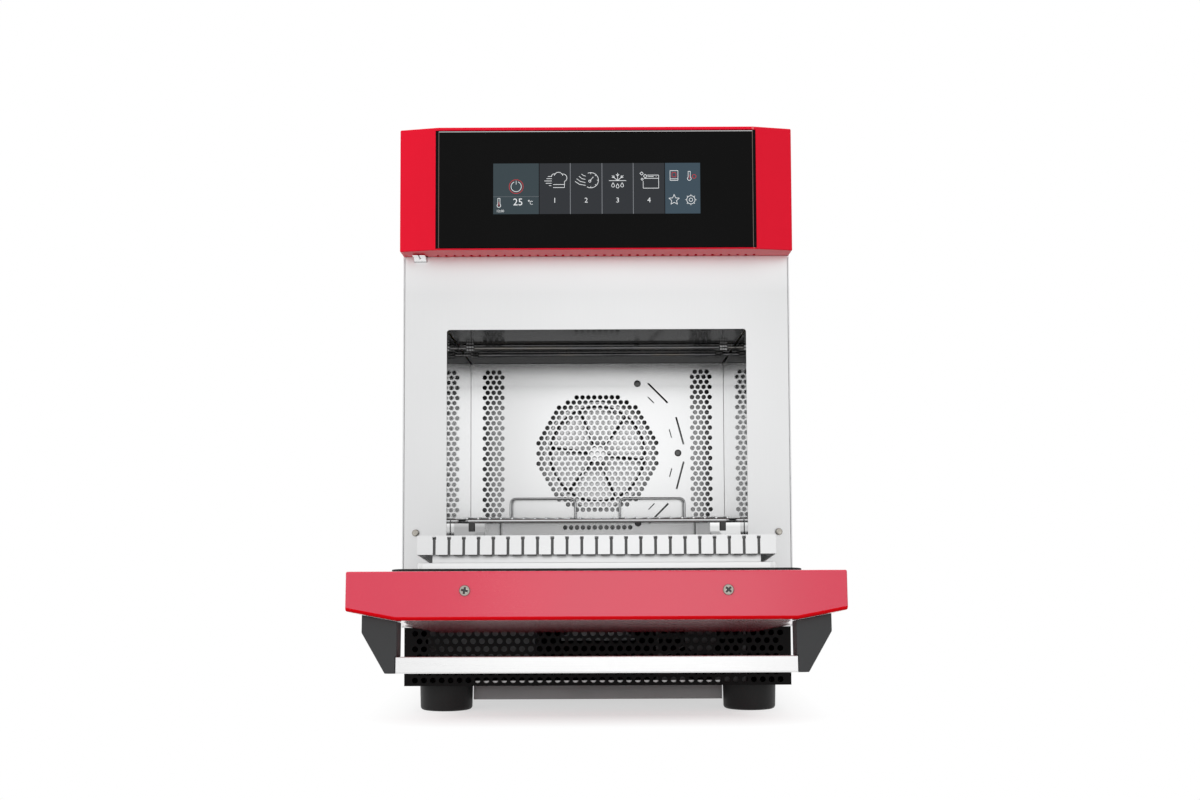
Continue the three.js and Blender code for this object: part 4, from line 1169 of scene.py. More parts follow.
@dataclass
class FrontSheet(Assembly):
    """The stainless front sheet with the oven's mouth, its bumpers and the hinge arms."""

    half: float = 200.0
    z: Span = (86.6, 468.3)
    thickness: float = 1.5
    mouth_half: float = 154.7
    mouth_z: Span = (165.0, 392.3)
    mouth_corner: float = 3.0
    arm_x: Span = (159.95, 168.05)
    arm_z: Span = (100.2, 115.8)
    switch_x: Span = (-188.9, -175.3)
    switch_z: Span = (462.9, 467.5)
    seam_x: Span = (198.0, 198.9)
    seam_z: Span = (88.0, 466.8)
    bumper_place: Point = (186.0, 183.0)
    bumper_radius: float = 3.5
    bumper_length: float = 5.3
    bumper_edge: float = 1.5

    def build(self) -> None:
        """Builds the front."""
        openings = [rectangle(facing(side, *self.arm_x), self.arm_z) for side, _ in SIDES]
        openings += [rectangle(facing(side, *self.seam_x), self.seam_z) for side, _ in SIDES]
        openings.append(rectangle(self.switch_x, self.switch_z))
        mouth = self.rounded(about(0, self.mouth_half), self.mouth_z, self.mouth_corner)
        outline = rectangle(about(0, self.half), self.z)
        sheet = Shape().plate(Axis.Y, (0, self.thickness), [outline, mouth, *openings])
        self.add(sheet, "front_sheet", SHEET, "front_fascia")
        for side, label in SIDES:
            self.bumper(side, label)
            self.refine(f"hinge_arm_{label}", GREY_STEEL, 0.7)

    @staticmethod
    def rounded(u: Span, v: Span, radius: float) -> list[Point]:
        """The outline of a rectangle with rounded corners."""
        (u0, u1), (v0, v1), r = u, v, radius
        points = arc((u1 - r, v0 + r), r, -90, 0, 5) + arc((u1 - r, v1 - r), r, 0, 90, 5)
        return points + arc((u0 + r, v1 - r), r, 90, 180, 5) + arc((u0 + r, v0 + r), r, 180, 270, 5)

    def bumper(self, side: int, label: str) -> None:
        """A small round bumper for the shut door."""
        r, edge, nose = self.bumper_radius, self.bumper_edge, 1.2 - self.bumper_length
        rim = arc((r - edge, nose), edge, 0, -90, 5)
        profile = [(0, -0.3), (r, -0.3), (r, nose), *rim, (0, -self.bumper_length)]
        x, z = self.bumper_place
        shape = Shape().turned(Axis.Y, (side * x, 0, z), profile, 24)
        self.add(shape, f"door_bumper_{label}_turned", SCREW, f"door_bumper_{label}")


@dataclass
class SwitchPlunger(Assembly):
    """The bright two-lobed plunger that feels the shut door."""

    body: str = "switch_plunger"
    x: Span = (-188.6, -175.6)
    stem_y: Span = (-3.9, 6.0)
    stem_z: Span = (463.2, 467.2)
    lobe_gap: float = 0.8
    lobe_z: Span = (464.5, 472.5)
    lobe_y: Span = (-5.6, -3.3)
    tongue_y: Span = (-20.0, -4.0)
    tongue_z: Span = (465.9, 468.3)

    def build(self) -> None:
        """Builds the plunger: a stem, and two rounded lobes with a tongue before each."""
        plunger = Shape().box(self.x, self.stem_y, self.stem_z).soften(0.5)
        low, high = about(sum(self.x) / 2, self.lobe_gap / 2)
        for x in ((self.x[0], low), (high, self.x[1])):
            plunger.add(Shape().box(x, self.lobe_y, self.lobe_z).soften(1.1, 4))
            plunger.add(Shape().box(x, self.tongue_y, self.tongue_z).soften(1.0, 4))
        self.add(plunger, "door_switch_plunger_lobed", BRIGHT, "door_switch_plunger")


@dataclass
class Hood(Assembly):
    """The red hood, its glass and the board behind it."""

    half: float = 200.0
    facet: float = 40.0
    side_reach: float = 31.3
    front_reach: float = 43.0
    z: Span = (468.6, 594.5)
    sheet: float = 1.5
    seat: float = 6.0
    fold: float = 1.1
    glass_half: float = 159.4
    glass_z: Span = (470.3, 589.9)
    glass_thickness: float = 4.0
    window_half: float = 112.0
    window_z: Span = (499.1, 559.5)
    pocket_half: float = 162.8
    pocket_z: Span = (470.0, 591.3)
    vent_y: Span = (-11.0, -2.0)
    vent_width: float = 2.6
    vent_pitch: float = 8.6
    vent_count: int = 39
    notch: tuple[Span, Span, Span] = ((-189.6, -174.6), (-6.6, 3.0), (467.0, 473.5))
    highlight_x: Span = (0.03, 0.26)
    highlight_y: float = -0.9
    gap: float = 0.1
    seal_depth: Span = (2.0, 3.4)
    rim_depth: Span = (-0.02, 0.5)
    rim_height: Span = (-0.35, 0.25)
    edge_half: float = 0.3
    edge_end: float = 0.4

    def build(self) -> None:
        """Builds the hood and its glass."""
        self.shell()
        self.glass()
        self.dress("display_module", DISPLAY)
        self.dress("control_board", BOARD)

    def outline(self, inset: float, front: float, back: float) -> list[Point]:
        """The hood seen from above, drawn in by an inset."""
        half, fold = self.half - inset, self.half - self.facet
        return both_halves([(-half, back), (-half, inset - self.side_reach), (-fold, front)])

    def shell(self) -> None:
        """The folded shell with the pocket for the glass and a row of vent holes below."""
        front, (low, high), sheet = -self.front_reach, self.z, self.sheet
        shell = Shape().prism(Axis.Z, self.z, self.outline(0, front, sheet))
        shell.soften(self.fold, 3, 12.0)
        behind_seat = self.outline(sheet, front + self.seat, sheet + 2)
        hollow = Shape().prism(Axis.Z, (low + sheet, high - sheet), behind_seat)
        recess = (front - 2, front + self.glass_thickness + 0.3)
        through = (front, front + self.seat + 2)
        pocket = Shape().box(about(0, self.pocket_half), recess, self.pocket_z)
        window = Shape().box(about(0, self.window_half), through, self.window_z)
        vents = Shape()
        for x in in_row(self.vent_count, self.vent_pitch):
            vents.box(about(x, self.vent_width / 2), self.vent_y, (low - 1, low + sheet + 1))
        cut = shell.cut(hollow, pocket, window, vents, Shape().box(*self.notch))
        piece = self.add(cut, "hood_folded", RED, "hood_shell", smooth=25.0)
        # The right front fold alone takes the glossier, paler red: a painted highlight.
        piece.data.materials.append(RED_FOLD_HIGHLIGHT.material())
        least, most = self.highlight_x
        for face in piece.data.polygons:
            face.material_index = int(least < face.normal.x < most and face.normal.y < self.highlight_y)

    def glass(self) -> None:
        """The glass with its seal, its polished rim and its dull side edges."""
        front, half, (low, high), gap = -self.front_reach, self.glass_half, self.glass_z, self.gap
        pane = Shape().box(about(0, half), (front, front + self.glass_thickness), self.glass_z)
        pane.soften(2.2, 4, 30.0, Axis.Y).soften(0.45, 1)
        self.add(pane, "control_glass_pane", GLASS, "control_glass")
        pocket = (self.pocket_z[0] + gap, self.pocket_z[1] - gap)
        outer = rectangle(about(0, self.pocket_half - gap), pocket)
        inner = rectangle(about(0, half + gap), (low - gap, high + gap))
        seal, rim = ((front + near, front + far) for near, far in (self.seal_depth, self.rim_depth))
        self.add(Shape().plate(Axis.Y, seal, [outer, inner]), "control_glass_seal", SEAL)
        crest = (high + self.rim_height[0], high + self.rim_height[1])
        self.add(Shape().box(about(0, half + gap), rim, crest), "control_glass_rim", TRIM)
        sides, upright = Shape(), (low + self.edge_end, high - self.edge_end)
        for side, _ in SIDES:
            sides.box(about(side * half, self.edge_half), rim, upright)
        self.add(sides, "control_glass_edges", DULL_TRIM)


class Pen:
    """Draws thin flat lines on the face of the display."""

    def __init__(self, face: float, width: float) -> None:
        """Args:
            face: the depth of the display's face.
            width: the width of a line.
        """
        self.face, self.width = face, width
        self.ink = Shape()

    def line(self, middle: Point, *points: Point, closed: bool = False) -> "Pen":
        """Draws straight runs between points that are given from a middle."""
        places = [(middle[0] + u, self.face, middle[1] + v) for u, v in points]
        if closed:
            places += places[:1]
        for start, end in zip(places, places[1:]):
            self.ink.tube([start, end], self.width / 2, 1.0, 6)
        return self

    def curve(self, middle: Point, centre: Point, radius: float, start: float, end: float) -> "Pen":
        """Draws an arc between two angles in degrees."""
        steps = max(4, int(abs(end - start) * radius / 60))
        return self.line(middle, *arc(centre, radius, start, end, steps))

    def flat(self) -> Shape:
        """The drawing, pressed flat."""
        middle = Matrix.Translation((0, self.face, 0))
        return self.ink.turn(middle @ Matrix.Diagonal((1, 0.25, 1, 1)) @ middle.inverted())


@dataclass
class Screen(Assembly):
    """The lit display: six tiles with plain signs and numbers."""

    z: Span = (505.0, 557.0)
    edges: tuple[float, ...] = (-104.4, -57.5, -25.9, 6.3, 38.0, 70.0, 106.3)
    tile_gap: float = 0.35
    tile_y: Span = (-43.06, -42.9)
    line_y: Span = (-43.08, -42.9)
    line_half: float = 0.3
    rule_z: Span = (522.8, 523.0)
    ink: float = -43.12
    sign_height: float = 539.0
    font_scale: float = 1.38
    font_depth: float = 0.03

    def build(self) -> None:
        """Builds the tiles, the signs and the numbers."""
        finishes = (TILE_GREEN, TILE_GREY, TILE_GREY, TILE_GREY, TILE_GREY, TILE_BLUE)
        for number, finish in enumerate(finishes):
            x = (self.edges[number] + self.tile_gap, self.edges[number + 1] - self.tile_gap)
            self.add(Shape().box(x, self.tile_y, self.z), f"display_tile_{number + 1}", finish)
        self.dividers()
        self.signs()
        self.numbers()

    def middle(self, tile: int) -> float:
        """The middle of a tile across the display."""
        return (self.edges[tile] + self.edges[tile + 1]) / 2

    def dividers(self) -> None:
        """Thin pale lines between the grey tiles, and one across the first tile."""
        lines = Shape()
        for edge in self.edges[2:5]:
            lines.box(about(edge, self.line_half), self.line_y, self.z)
        lines.box((self.edges[0] + 0.4, self.edges[1] - 0.4), self.line_y, self.rule_z)
        self.add(lines, "display_dividers", MARK_GREY)

    def signs(self) -> None:
        """The signs: power, cook, speed, frost, cleaning, list, heat, star and wheel."""
        white, red = Pen(self.ink, 0.56), Pen(self.ink, 0.48)
        power = (-80.8, 533.2)
        red.curve(power, (0, 0), 7.1, 0, 360)
        white.curve(power, (0, 0), 5.2, 112, 428).line(power, (0, 2.2), (0, 6.0))
        self.cook(white, (self.middle(1) + 1.0, self.sign_height))
        self.speed(white, (self.middle(2) + 1.5, self.sign_height))
        self.frost(white, (self.middle(3), self.sign_height))
        self.cleaning(white, (self.middle(4), self.sign_height))
        self.small_signs(white, red)
        self.add(white.flat(), "display_signs_white", MARK_WHITE)
        self.add(red.flat(), "display_signs_red", MARK_RED)

    @staticmethod
    def cook(pen: Pen, at: Point) -> None:
        """A cook's hat with lines of haste."""
        pen.line(at, (8.9, -0.8), (8.9, -6.9), (-2.6, -6.9)).line(at, (8.9, -3.8), (-2.6, -3.8))
        pen.curve(at, (-1.6, 4.6), 2.6, 60, 190).curve(at, (2.9, 4.4), 4.4, 12, 168)
        pen.curve(at, (7.4, 3.0), 4.0, -68, 95)
        heights = (4.5, 2.2, -0.1, -2.5, -4.9)
        spans = ((-7.9, -4.4), (-9.3, -4.0), (-11.4, -3.9), (-10.0, -4.2), (-6.8, -4.4))
        for v, (start, end) in zip(heights, spans):
            pen.line(at, (start, v), (end, v))

    @staticmethod
    def speed(pen: Pen, at: Point) -> None:
        """A dial with a needle and four curved lines."""
        hub = (3.2, 0.5)
        pen.curve(at, hub, 7.8, -120, 112).line(at, (2.4, 0.0), (5.9, 4.0))
        pen.curve(at, (2.2, -0.4), 1.2, 0, 360)
        for angle in (-90, -45, 0, 45, 90):
            pen.line(at, spot(hub, 6.2, angle), spot(hub, 7.6, angle))
        for left, middle, right in (
            ((-6.2, 6.9), (-4.2, 5.4), (-2.0, 4.7)),
            ((-8.8, 4.6), (-5.8, 2.2), (-2.2, 1.3)),
            ((-11.2, 2.2), (-7.4, -0.7), (-2.2, -1.9)),
            ((-12.8, -0.6), (-8.4, -3.6), (-2.0, -4.8)),
        ):
            pen.line(at, left, middle, right)

    @staticmethod
    def frost(pen: Pen, at: Point) -> None:
        """Half a snow star over a line with three drops."""
        pen.line(at, (-8.8, 0.0), (8.8, 0.0))
        for angle in (42, 90, 138):
            fork = spot((0, 0), 4.6, angle)
            pen.line(at, (0, 0), spot((0, 0), 7.8, angle))
            for turn in (-38, 38):
                pen.line(at, fork, spot(fork, 2.4, angle + turn))
        for u, v in ((-4.6, -5.2), (0, -6.2), (4.6, -5.2)):
            pen.curve(at, (u, v), 1.5, 150, 390)
            pen.line(at, (u - 1.35, v + 0.7), (u, v + 3.1), (u + 1.35, v + 0.7))

    @staticmethod
    def cleaning(pen: Pen, at: Point) -> None:
        """An oven's front with sparks at its corner."""
        pen.line(at, (-5.9, -0.5), (-5.9, -7.9), (9.8, -7.9), (9.8, 5.5), (-1.8, 5.5))
        for v, start, end in ((2.2, -5.0, 9.8), (4.0, -1.0, 4.8), (4.0, 6.9, 7.6)):
            pen.line(at, (start, v), (end, v))
        for u, v, r in ((-7.4, 7.2, 1.7), (-3.8, 4.5, 1.9), (-6.9, 1.3, 1.2)):
            pen.line(at, (u - r, v), (u, v + r), (u + r, v), (u, v - r), closed=True)

    def small_signs(self, white: Pen, red: Pen) -> None:
        """The four small signs of the last tile, and the heat sign of the first."""
        left, right, top, bottom = 79.4, 96.4, 544.0, 519.0
        page, heat, star, wheel = (left, top), (right, top), (left, bottom), (right, bottom)
        white.line(page, *rectangle(about(0, 4), about(0, 5)), closed=True)
        white.line(page, (-4, -3.4), (4, -3.4))
        red.line(page, *rectangle(about(0, 2), (-1.4, 3)), closed=True)
        for at in (heat, (-96.8, 517.0)):
            white.curve(at, (-1.5, -3.2), 1.9, 125, 415)
            white.line(at, (-2.6, -1.6), (-2.6, 4.2), (-0.4, 4.2), (-0.4, -1.6))
            red.line(at, (-1.5, -3.6), (-1.5, 0.6))
        red.curve(heat, (3.4, -1.0), 2.0, 0, 360)
        tips = [spot((0, 0), 2.5 if step % 2 else 5.6, 90 + step * 36) for step in range(10)]
        white.line(star, *tips, closed=True)
        white.curve(wheel, (0, 0), 1.8, 0, 360).curve(wheel, (0, 0), 4.2, 0, 360)
        for angle in range(0, 360, 45):
            white.line(wheel, spot((0, 0), 4.2, angle), spot((0, 0), 5.6, angle))

    def numbers(self) -> None:
        """The figures for heat and time, and a number below each sign."""
        words = [("25", -79.0, 514.0, 7.4), ("12:00", -97.0, 507.0, 2.6)]
        words += [(str(n), self.middle(n), 516.6, 5.2) for n in range(1, 5)]
        for count, (text, x, z, size) in enumerate(words):
            self.write(text, (x, z), size, f"display_number_{count + 1}")
        degree = Pen(self.ink, 0.5)
        degree.curve((-66.3, 518.6), (-1.6, 0), 0.8, 0, 360)
        degree.curve((-66.3, 516.6), (1.2, 0), 1.7, 50, 310)
        self.add(degree.flat(), "display_degree", MARK_WHITE)

    def write(self, text: str, at: Point, size: float, name: str) -> None:
        """Writes numbers on the face.

        Args:
            text: the figures.
            at: the middle of their foot.
            size: their height in millimetres.
            name: the piece's name.
        """
        curve = bpy.data.curves.new(name, "FONT")
        curve.body, curve.size, curve.align_x = text, size * self.font_scale, "CENTER"
        curve.extrude, curve.resolution_u = self.font_depth, 3
        held = linked(name + "_held", curve)
        bpy.context.view_layer.update()
        mesh = baked(held)
        bpy.data.objects.remove(held)
        shape = Shape()
        shape.bm.from_mesh(mesh)
        bpy.data.meshes.remove(mesh)
        upright = Matrix.Rotation(math.pi / 2, 4, "X")
        shape.turn(Matrix.Translation((at[0], self.ink, at[1])) @ upright)
        self.add(shape, name, MARK_WHITE)


@dataclass
class Cavity(Assembly):
    """The lining of the oven with its fan grille, elements, channels and ceramic plate."""

    half: float = 154.4
    back: Span = (320.9, 322.4)
    rear_z: Span = (165.3, 387.6)
    pitch: float = 7.2
    row_pitch: float = 6.24
    fan_z: float = 277.5
    grille_rows: tuple[int, ...] = (21, 20, 21, 20, 19, 18, 17, 16, 15, 14, 11, 8)
    strip_place: float = 127.0
    strip_top: float = 377.2
    strip_rows: int = 29
    low_row: float = 187.1
    low_count: int = 12
    hole_radius: float = 2.9
    slits: tuple[tuple[float, float, float, float], ...] = (
        (106.0, 54.0, 35.5, 2.2),
        (106.0, 24.5, 5.7, 2.2),
        (92.7, 48.0, 41.5, 1.3),
        (92.7, 18.3, 11.7, 1.3),
    )
    screw_angles: tuple[float, ...] = (60.0, 0.0, -60.0)
    screw_circle: float = 98.5
    screw_size: Point = (4.2, 2.2)
    element_y: tuple[float, float] = (137.5, 203.5)
    element_radius: float = 2.3
    element_taper: float = 0.6
    element_drop: float = 2.7
    clip_place: float = 141.2
    clip_lead: float = 4.0
    clip_size: Point = (9.0, 7.0)
    clip_thickness: float = 0.8
    rivet_half: float = 0.9
    rivet_y: Span = (-0.15, 0.3)
    rivet_share: Point = (0.31, 0.23)
    ceiling_front: float = 392.3
    ceiling_fall: float = 4.4
    ceiling_gap: float = 1.0
    depth: float = 320.9

    def build(self) -> None:
        """Builds the lining."""
        for _, label in SIDES:
            self.refine(f"cavity_wall_{label}", LINING, 0.3)
            self.refine(f"rack_channel_{label}", LINING, 0.3)
        self.ceiling()
        self.refine("cavity_floor", LINING, 0.3)
        self.refine("ceramic_plate", CERAMIC, 1.2, 3)
        self.dress("insulation_top", WOOL)
        self.rear_wall()
        self.elements()

    def ceiling_at(self, y: float) -> float:
        """The height of the ceiling at a depth."""
        return self.ceiling_front - self.ceiling_fall * y / self.depth

    def ceiling(self) -> None:
        """The bright rolled ceiling, which falls a little towards the back."""
        half = self.half - self.ceiling_gap
        plate = Shape().box(about(0, half), (1.8, self.back[1]), (0.0, 1.5)).soften(0.3)
        tilt = Matrix.Identity(4)
        tilt[2][1] = -self.ceiling_fall / self.depth
        tilt[2][3] = self.ceiling_front
        self.add(plate.turn(tilt), "cavity_ceiling_rolled", CEILING, "cavity_ceiling")

    def grille_holes(self) -> list[Point]:
        """The middles of all round holes of the rear wall."""
        reach = len(self.grille_rows) - 1
        holes = [
            (x, self.fan_z + row * self.row_pitch)
            for row in range(-reach, reach + 1)
            for x in in_row(self.grille_rows[abs(row)], self.pitch)
        ]
        holes += [
            (side * self.strip_place + x, self.strip_top - row * self.row_pitch)
            for row in range(self.strip_rows)
            for side, _ in SIDES
            for x in in_row(3 + row % 2, self.pitch)
        ]
        return holes + [(x, self.low_row) for x in in_row(self.low_count, self.pitch)]

    def slit(self, radius: float, start: float, end: float, width: float) -> list[Point]:
        """The outline of a straight slit between two angles round the fan."""
        first, last = (Vector(spot((0.0, self.fan_z), radius, angle)) for angle in (start, end))
        across = (last - first).normalized().orthogonal() * (width / 2)
        return [tuple(p) for p in (first + across, last + across, last - across, first - across)]

    def rear_wall(self) -> None:
        """The rear wall: fan grille, side strips, slits and three screws."""
        openings = [
            self.slit(radius, sign * start, sign * end, width)
            for sign in (1, -1)
            for radius, start, end, width in self.slits
        ]
        outlines = [rectangle(about(0, self.half), self.rear_z), *openings]
        wall = Shape().plate(Axis.Y, self.back, outlines, self.grille_holes(), self.hole_radius, 10)
        self.add(wall, "cavity_rear_wall_pierced", REAR_WALL, "cavity_rear_wall")
        screws = Shape()
        turn = Matrix.Rotation(math.pi / 2, 4, "X")
        for angle in self.screw_angles:
            x, z = spot((0.0, self.fan_z), self.screw_circle, angle)
            screws.add(pan_screw(*self.screw_size), Matrix.Translation((x, self.back[0], z)) @ turn)
        self.add(screws, "rear_wall_screws", DARK_SCREW)

    def elements(self) -> None:
        """Two straight heating elements, each with a hanging plate near both ends."""
        r, half = self.element_radius, self.half
        start = [(0, -half), (r * 0.8, -half), (r, self.element_taper - half)]
        profile = start + [(radius, -along) for radius, along in reversed(start)]
        for name, y in zip(("front", "rear"), self.element_y):
            z = self.ceiling_at(y) - self.element_drop
            tube = Shape().turned(Axis.X, (0, y, z), profile, 20)
            node = f"grill_element_{name}"
            self.add(tube, f"{node}_tube", HEATER, node, smooth=40.0)
            clips, dots = Shape(), Shape()
            for side, _ in SIDES:
                self.clip(clips, dots, side * self.clip_place, y - self.clip_lead)
            self.add(clips, f"{node}_clips", CLIP)
            self.add(dots, f"{node}_clip_rivets", TRIM)

    def clip(self, clips: Shape, dots: Shape, x: float, y: float) -> None:
        """Adds a small hanging plate with six bright rivets.

        Args:
            clips: the shape that takes the plate.
            dots: the shape that takes the rivets.
            x: its middle across the oven.
            y: its front face.
        """
        (width, height), top = self.clip_size, self.ceiling_at(y) - 0.1
        clips.box(about(x, width / 2), (y, y + self.clip_thickness), (top - height, top))
        depth, (across, up) = (y + self.rivet_y[0], y + self.rivet_y[1]), self.rivet_share
        for u in (-1, 0, 1):
            for v in (-1, 1):
                place, level = x + u * width * across, top - height / 2 + v * height * up
                dots.box(about(place, self.rivet_half), depth, about(level, self.rivet_half))


@dataclass
class Rack(Assembly):
    """The wire rack with its two upright loops and its ears."""

    body: str = "rack"
    ear_end: float = 154.0
    ear: float = 10.0
    front: float = 40.0
    back: float = 300.9
    z: float = 195.0
    bar_radius: float = 2.0
    wire_radius: float = 1.3
    wire_pitch: float = 11.9
    loop_inner: float = 27.0
    loop_outer: float = 105.0
    loop_height: float = 27.0
    hook_place: float = 132.0
    hook_half: float = 3.0
    hook_drop: float = 11.0

    def build(self) -> None:
        """Builds the rack as welded wires."""
        half, near, inner = self.ear_end - self.ear, self.front, self.back - 10
        rack, hooks = Shape(), Shape()
        sides = both_halves([(-half, near + 8), (-half, self.back)])
        bow = both_halves([(-self.ear_end, near + 10), (-half - 2, near + 10), (-half + 8, near)])
        for line, bend in ((sides, 6.0), (bow, 5.0)):
            rack.tube([(x, y, self.z) for x, y in line], self.bar_radius, bend, 12)
        middle = (near + self.back) / 2
        rack.rod(Axis.X, about(0, half), middle, self.z, self.bar_radius, 12)
        wire_z = self.z + self.bar_radius + self.wire_radius / 2
        for x in in_row(int(2 * half / self.wire_pitch), self.wire_pitch):
            rack.add(self.wire(x, wire_z))
        for side, _ in SIDES:
            ear = [(side * x, inner, self.z) for x in (half, self.ear_end)]
            rack.tube(ear, self.bar_radius, 1, 12)
            hooks.add(self.hook(side))
            x0, x1 = side * self.loop_inner, side * self.loop_outer
            foot, top = self.z, self.z + self.loop_height
            corners = ((x0, foot), (x0, top), (x1, top), (x1, foot))
            rack.tube([(x, self.back, z) for x, z in corners], self.wire_radius, 6.0, 10)
        self.add(rack, "oven_rack_wires", WIRE, "oven_rack", smooth=45.0)
        # The hooks are near-black: painted shade on wire seen against the light.
        self.add(hooks, "oven_rack_hooks", SHADE_BLACK)

    def wire(self, x: float, z: float) -> Shape:
        """One wire of the rack, with softened ends."""
        span = (self.front - 1, self.back + 1)
        return Shape().rod(Axis.Y, span, x, z, self.wire_radius, 10).soften(0.5, 2, 60.0)

    def hook(self, side: int) -> Shape:
        """The flat hook below the front bar."""
        x = about(side * self.hook_place, self.hook_half)
        return Shape().box(x, about(self.front, 1), (self.z - self.hook_drop, self.z)).soften(0.5)


@dataclass
class FanWheel(Assembly):
    """The convection fan behind the grille."""

    body: str = "convection_fan"
    z: float = 277.5
    y: Span = (334.7, 364.7)
    radius: float = 66.0
    hub: float = 14.0
    blades: int = 6
    blade: float = 2.8
    first_angle: float = 52.0
    ring: Span = (56.8, 59.8)
    shaft_radius: float = 4.0
    shaft_end: float = 415.0

    def build(self) -> None:
        """Builds the wheel: back plate, hub and shaft, and the straight blades with their rim."""
        front, back = self.y
        r, h = self.radius, self.hub
        profile = [(0, back), (r, back), (r, back - 1.5), (h + 12, back - 1.5)]
        profile += [(h - 4, back - 4), (h - 5, front), (0, front)]
        wheel = Shape().turned(Axis.Y, (0, 0, self.z), profile, 72)
        wheel.rod(Axis.Y, (front - 2, self.shaft_end), 0, self.z, self.shaft_radius, 24)
        blade = Shape().box((h - 1, r - 5), (front, back - 1.2), about(0, self.blade / 2))
        blade.soften(0.5)
        blades, hub = Shape(), Matrix.Translation((0, 0, self.z))
        for number in range(self.blades):
            angle = math.radians(self.first_angle + number * 360 / self.blades)
            blades.add(blade, hub @ Matrix.Rotation(-angle, 4, "Y"))
        rim = rectangle(self.ring, (front, front + 1.5))
        blades.add(Shape().turned(Axis.Y, (0, 0, self.z), rim + rim[:1], 72))
        self.add(blades, "convection_fan_blades", BLADE)
        self.add(wheel, "convection_fan_wheel", FAN, "convection_fan")


@dataclass
class Machinery(Assembly):
    """What works out of sight: fan housing, feed of the microwaves, supply and cooling."""

    ring_radius: float = 82.0
    ring_y: float = 349.7
    tube_radius: float = 3.25
    leg_end: float = 397.9
    fan_z: float = 277.5
    parts: tuple[tuple[str, Finish, float, int], ...] = (
        ("fan_motor", GREY_STEEL, 1.5, 3),
        ("waveguide", DUCT, 0.3, 2),
        ("stirrer_motor", GREY_STEEL, 1.0, 2),
        ("magnetron", ALUMINIUM, 0.4, 2),
        ("power_supply", GREY_STEEL, 1.0, 2),
        ("cooling_fan_housing", PLASTIC, 0.4, 2),
        ("door_switch", PLASTIC, 0.5, 2),
    )

    def build(self) -> None:
        """Builds the hidden machinery of the cabinet."""
        self.refine("plenum_housing", PLENUM, 0.3)
        self.ring()
        for node, finish, width, segments in self.parts:
            self.refine(node, finish, width, segments)

    def ring(self) -> None:
        """The ring heater round the fan, with its two legs."""
        r = self.tube_radius
        section = arc((self.ring_radius, 0), r, 0, 360, 12)
        ring = Shape().turned(Axis.Y, (0, self.ring_y, self.fan_z), section, 72)
        height = self.fan_z + math.sqrt(self.ring_radius ** 2 - (r * 3) ** 2)
        for side, _ in SIDES:
            ring.rod(Axis.Y, (self.ring_y, self.leg_end), side * r * 3, height, r, 16)
        self.add(ring, "ring_heater_bent", HEATER, "ring_heater", smooth=45.0)


@dataclass
class Stirrer(Assembly):
    """The mode stirrer below the ceramic plate."""

    body: str = "mode_stirrer"

    def build(self) -> None:
        """Builds the stirrer."""
        self.refine("mode_stirrer", FAN, 0.3, 1)


@dataclass
class CoolingRotor(Assembly):
    """The rotor of the cooling fan."""

    body: str = "cooling_fan"

    def build(self) -> None:
        """Builds the rotor."""
        self.refine("cooling_fan_rotor", PLASTIC, 0.3, 1)


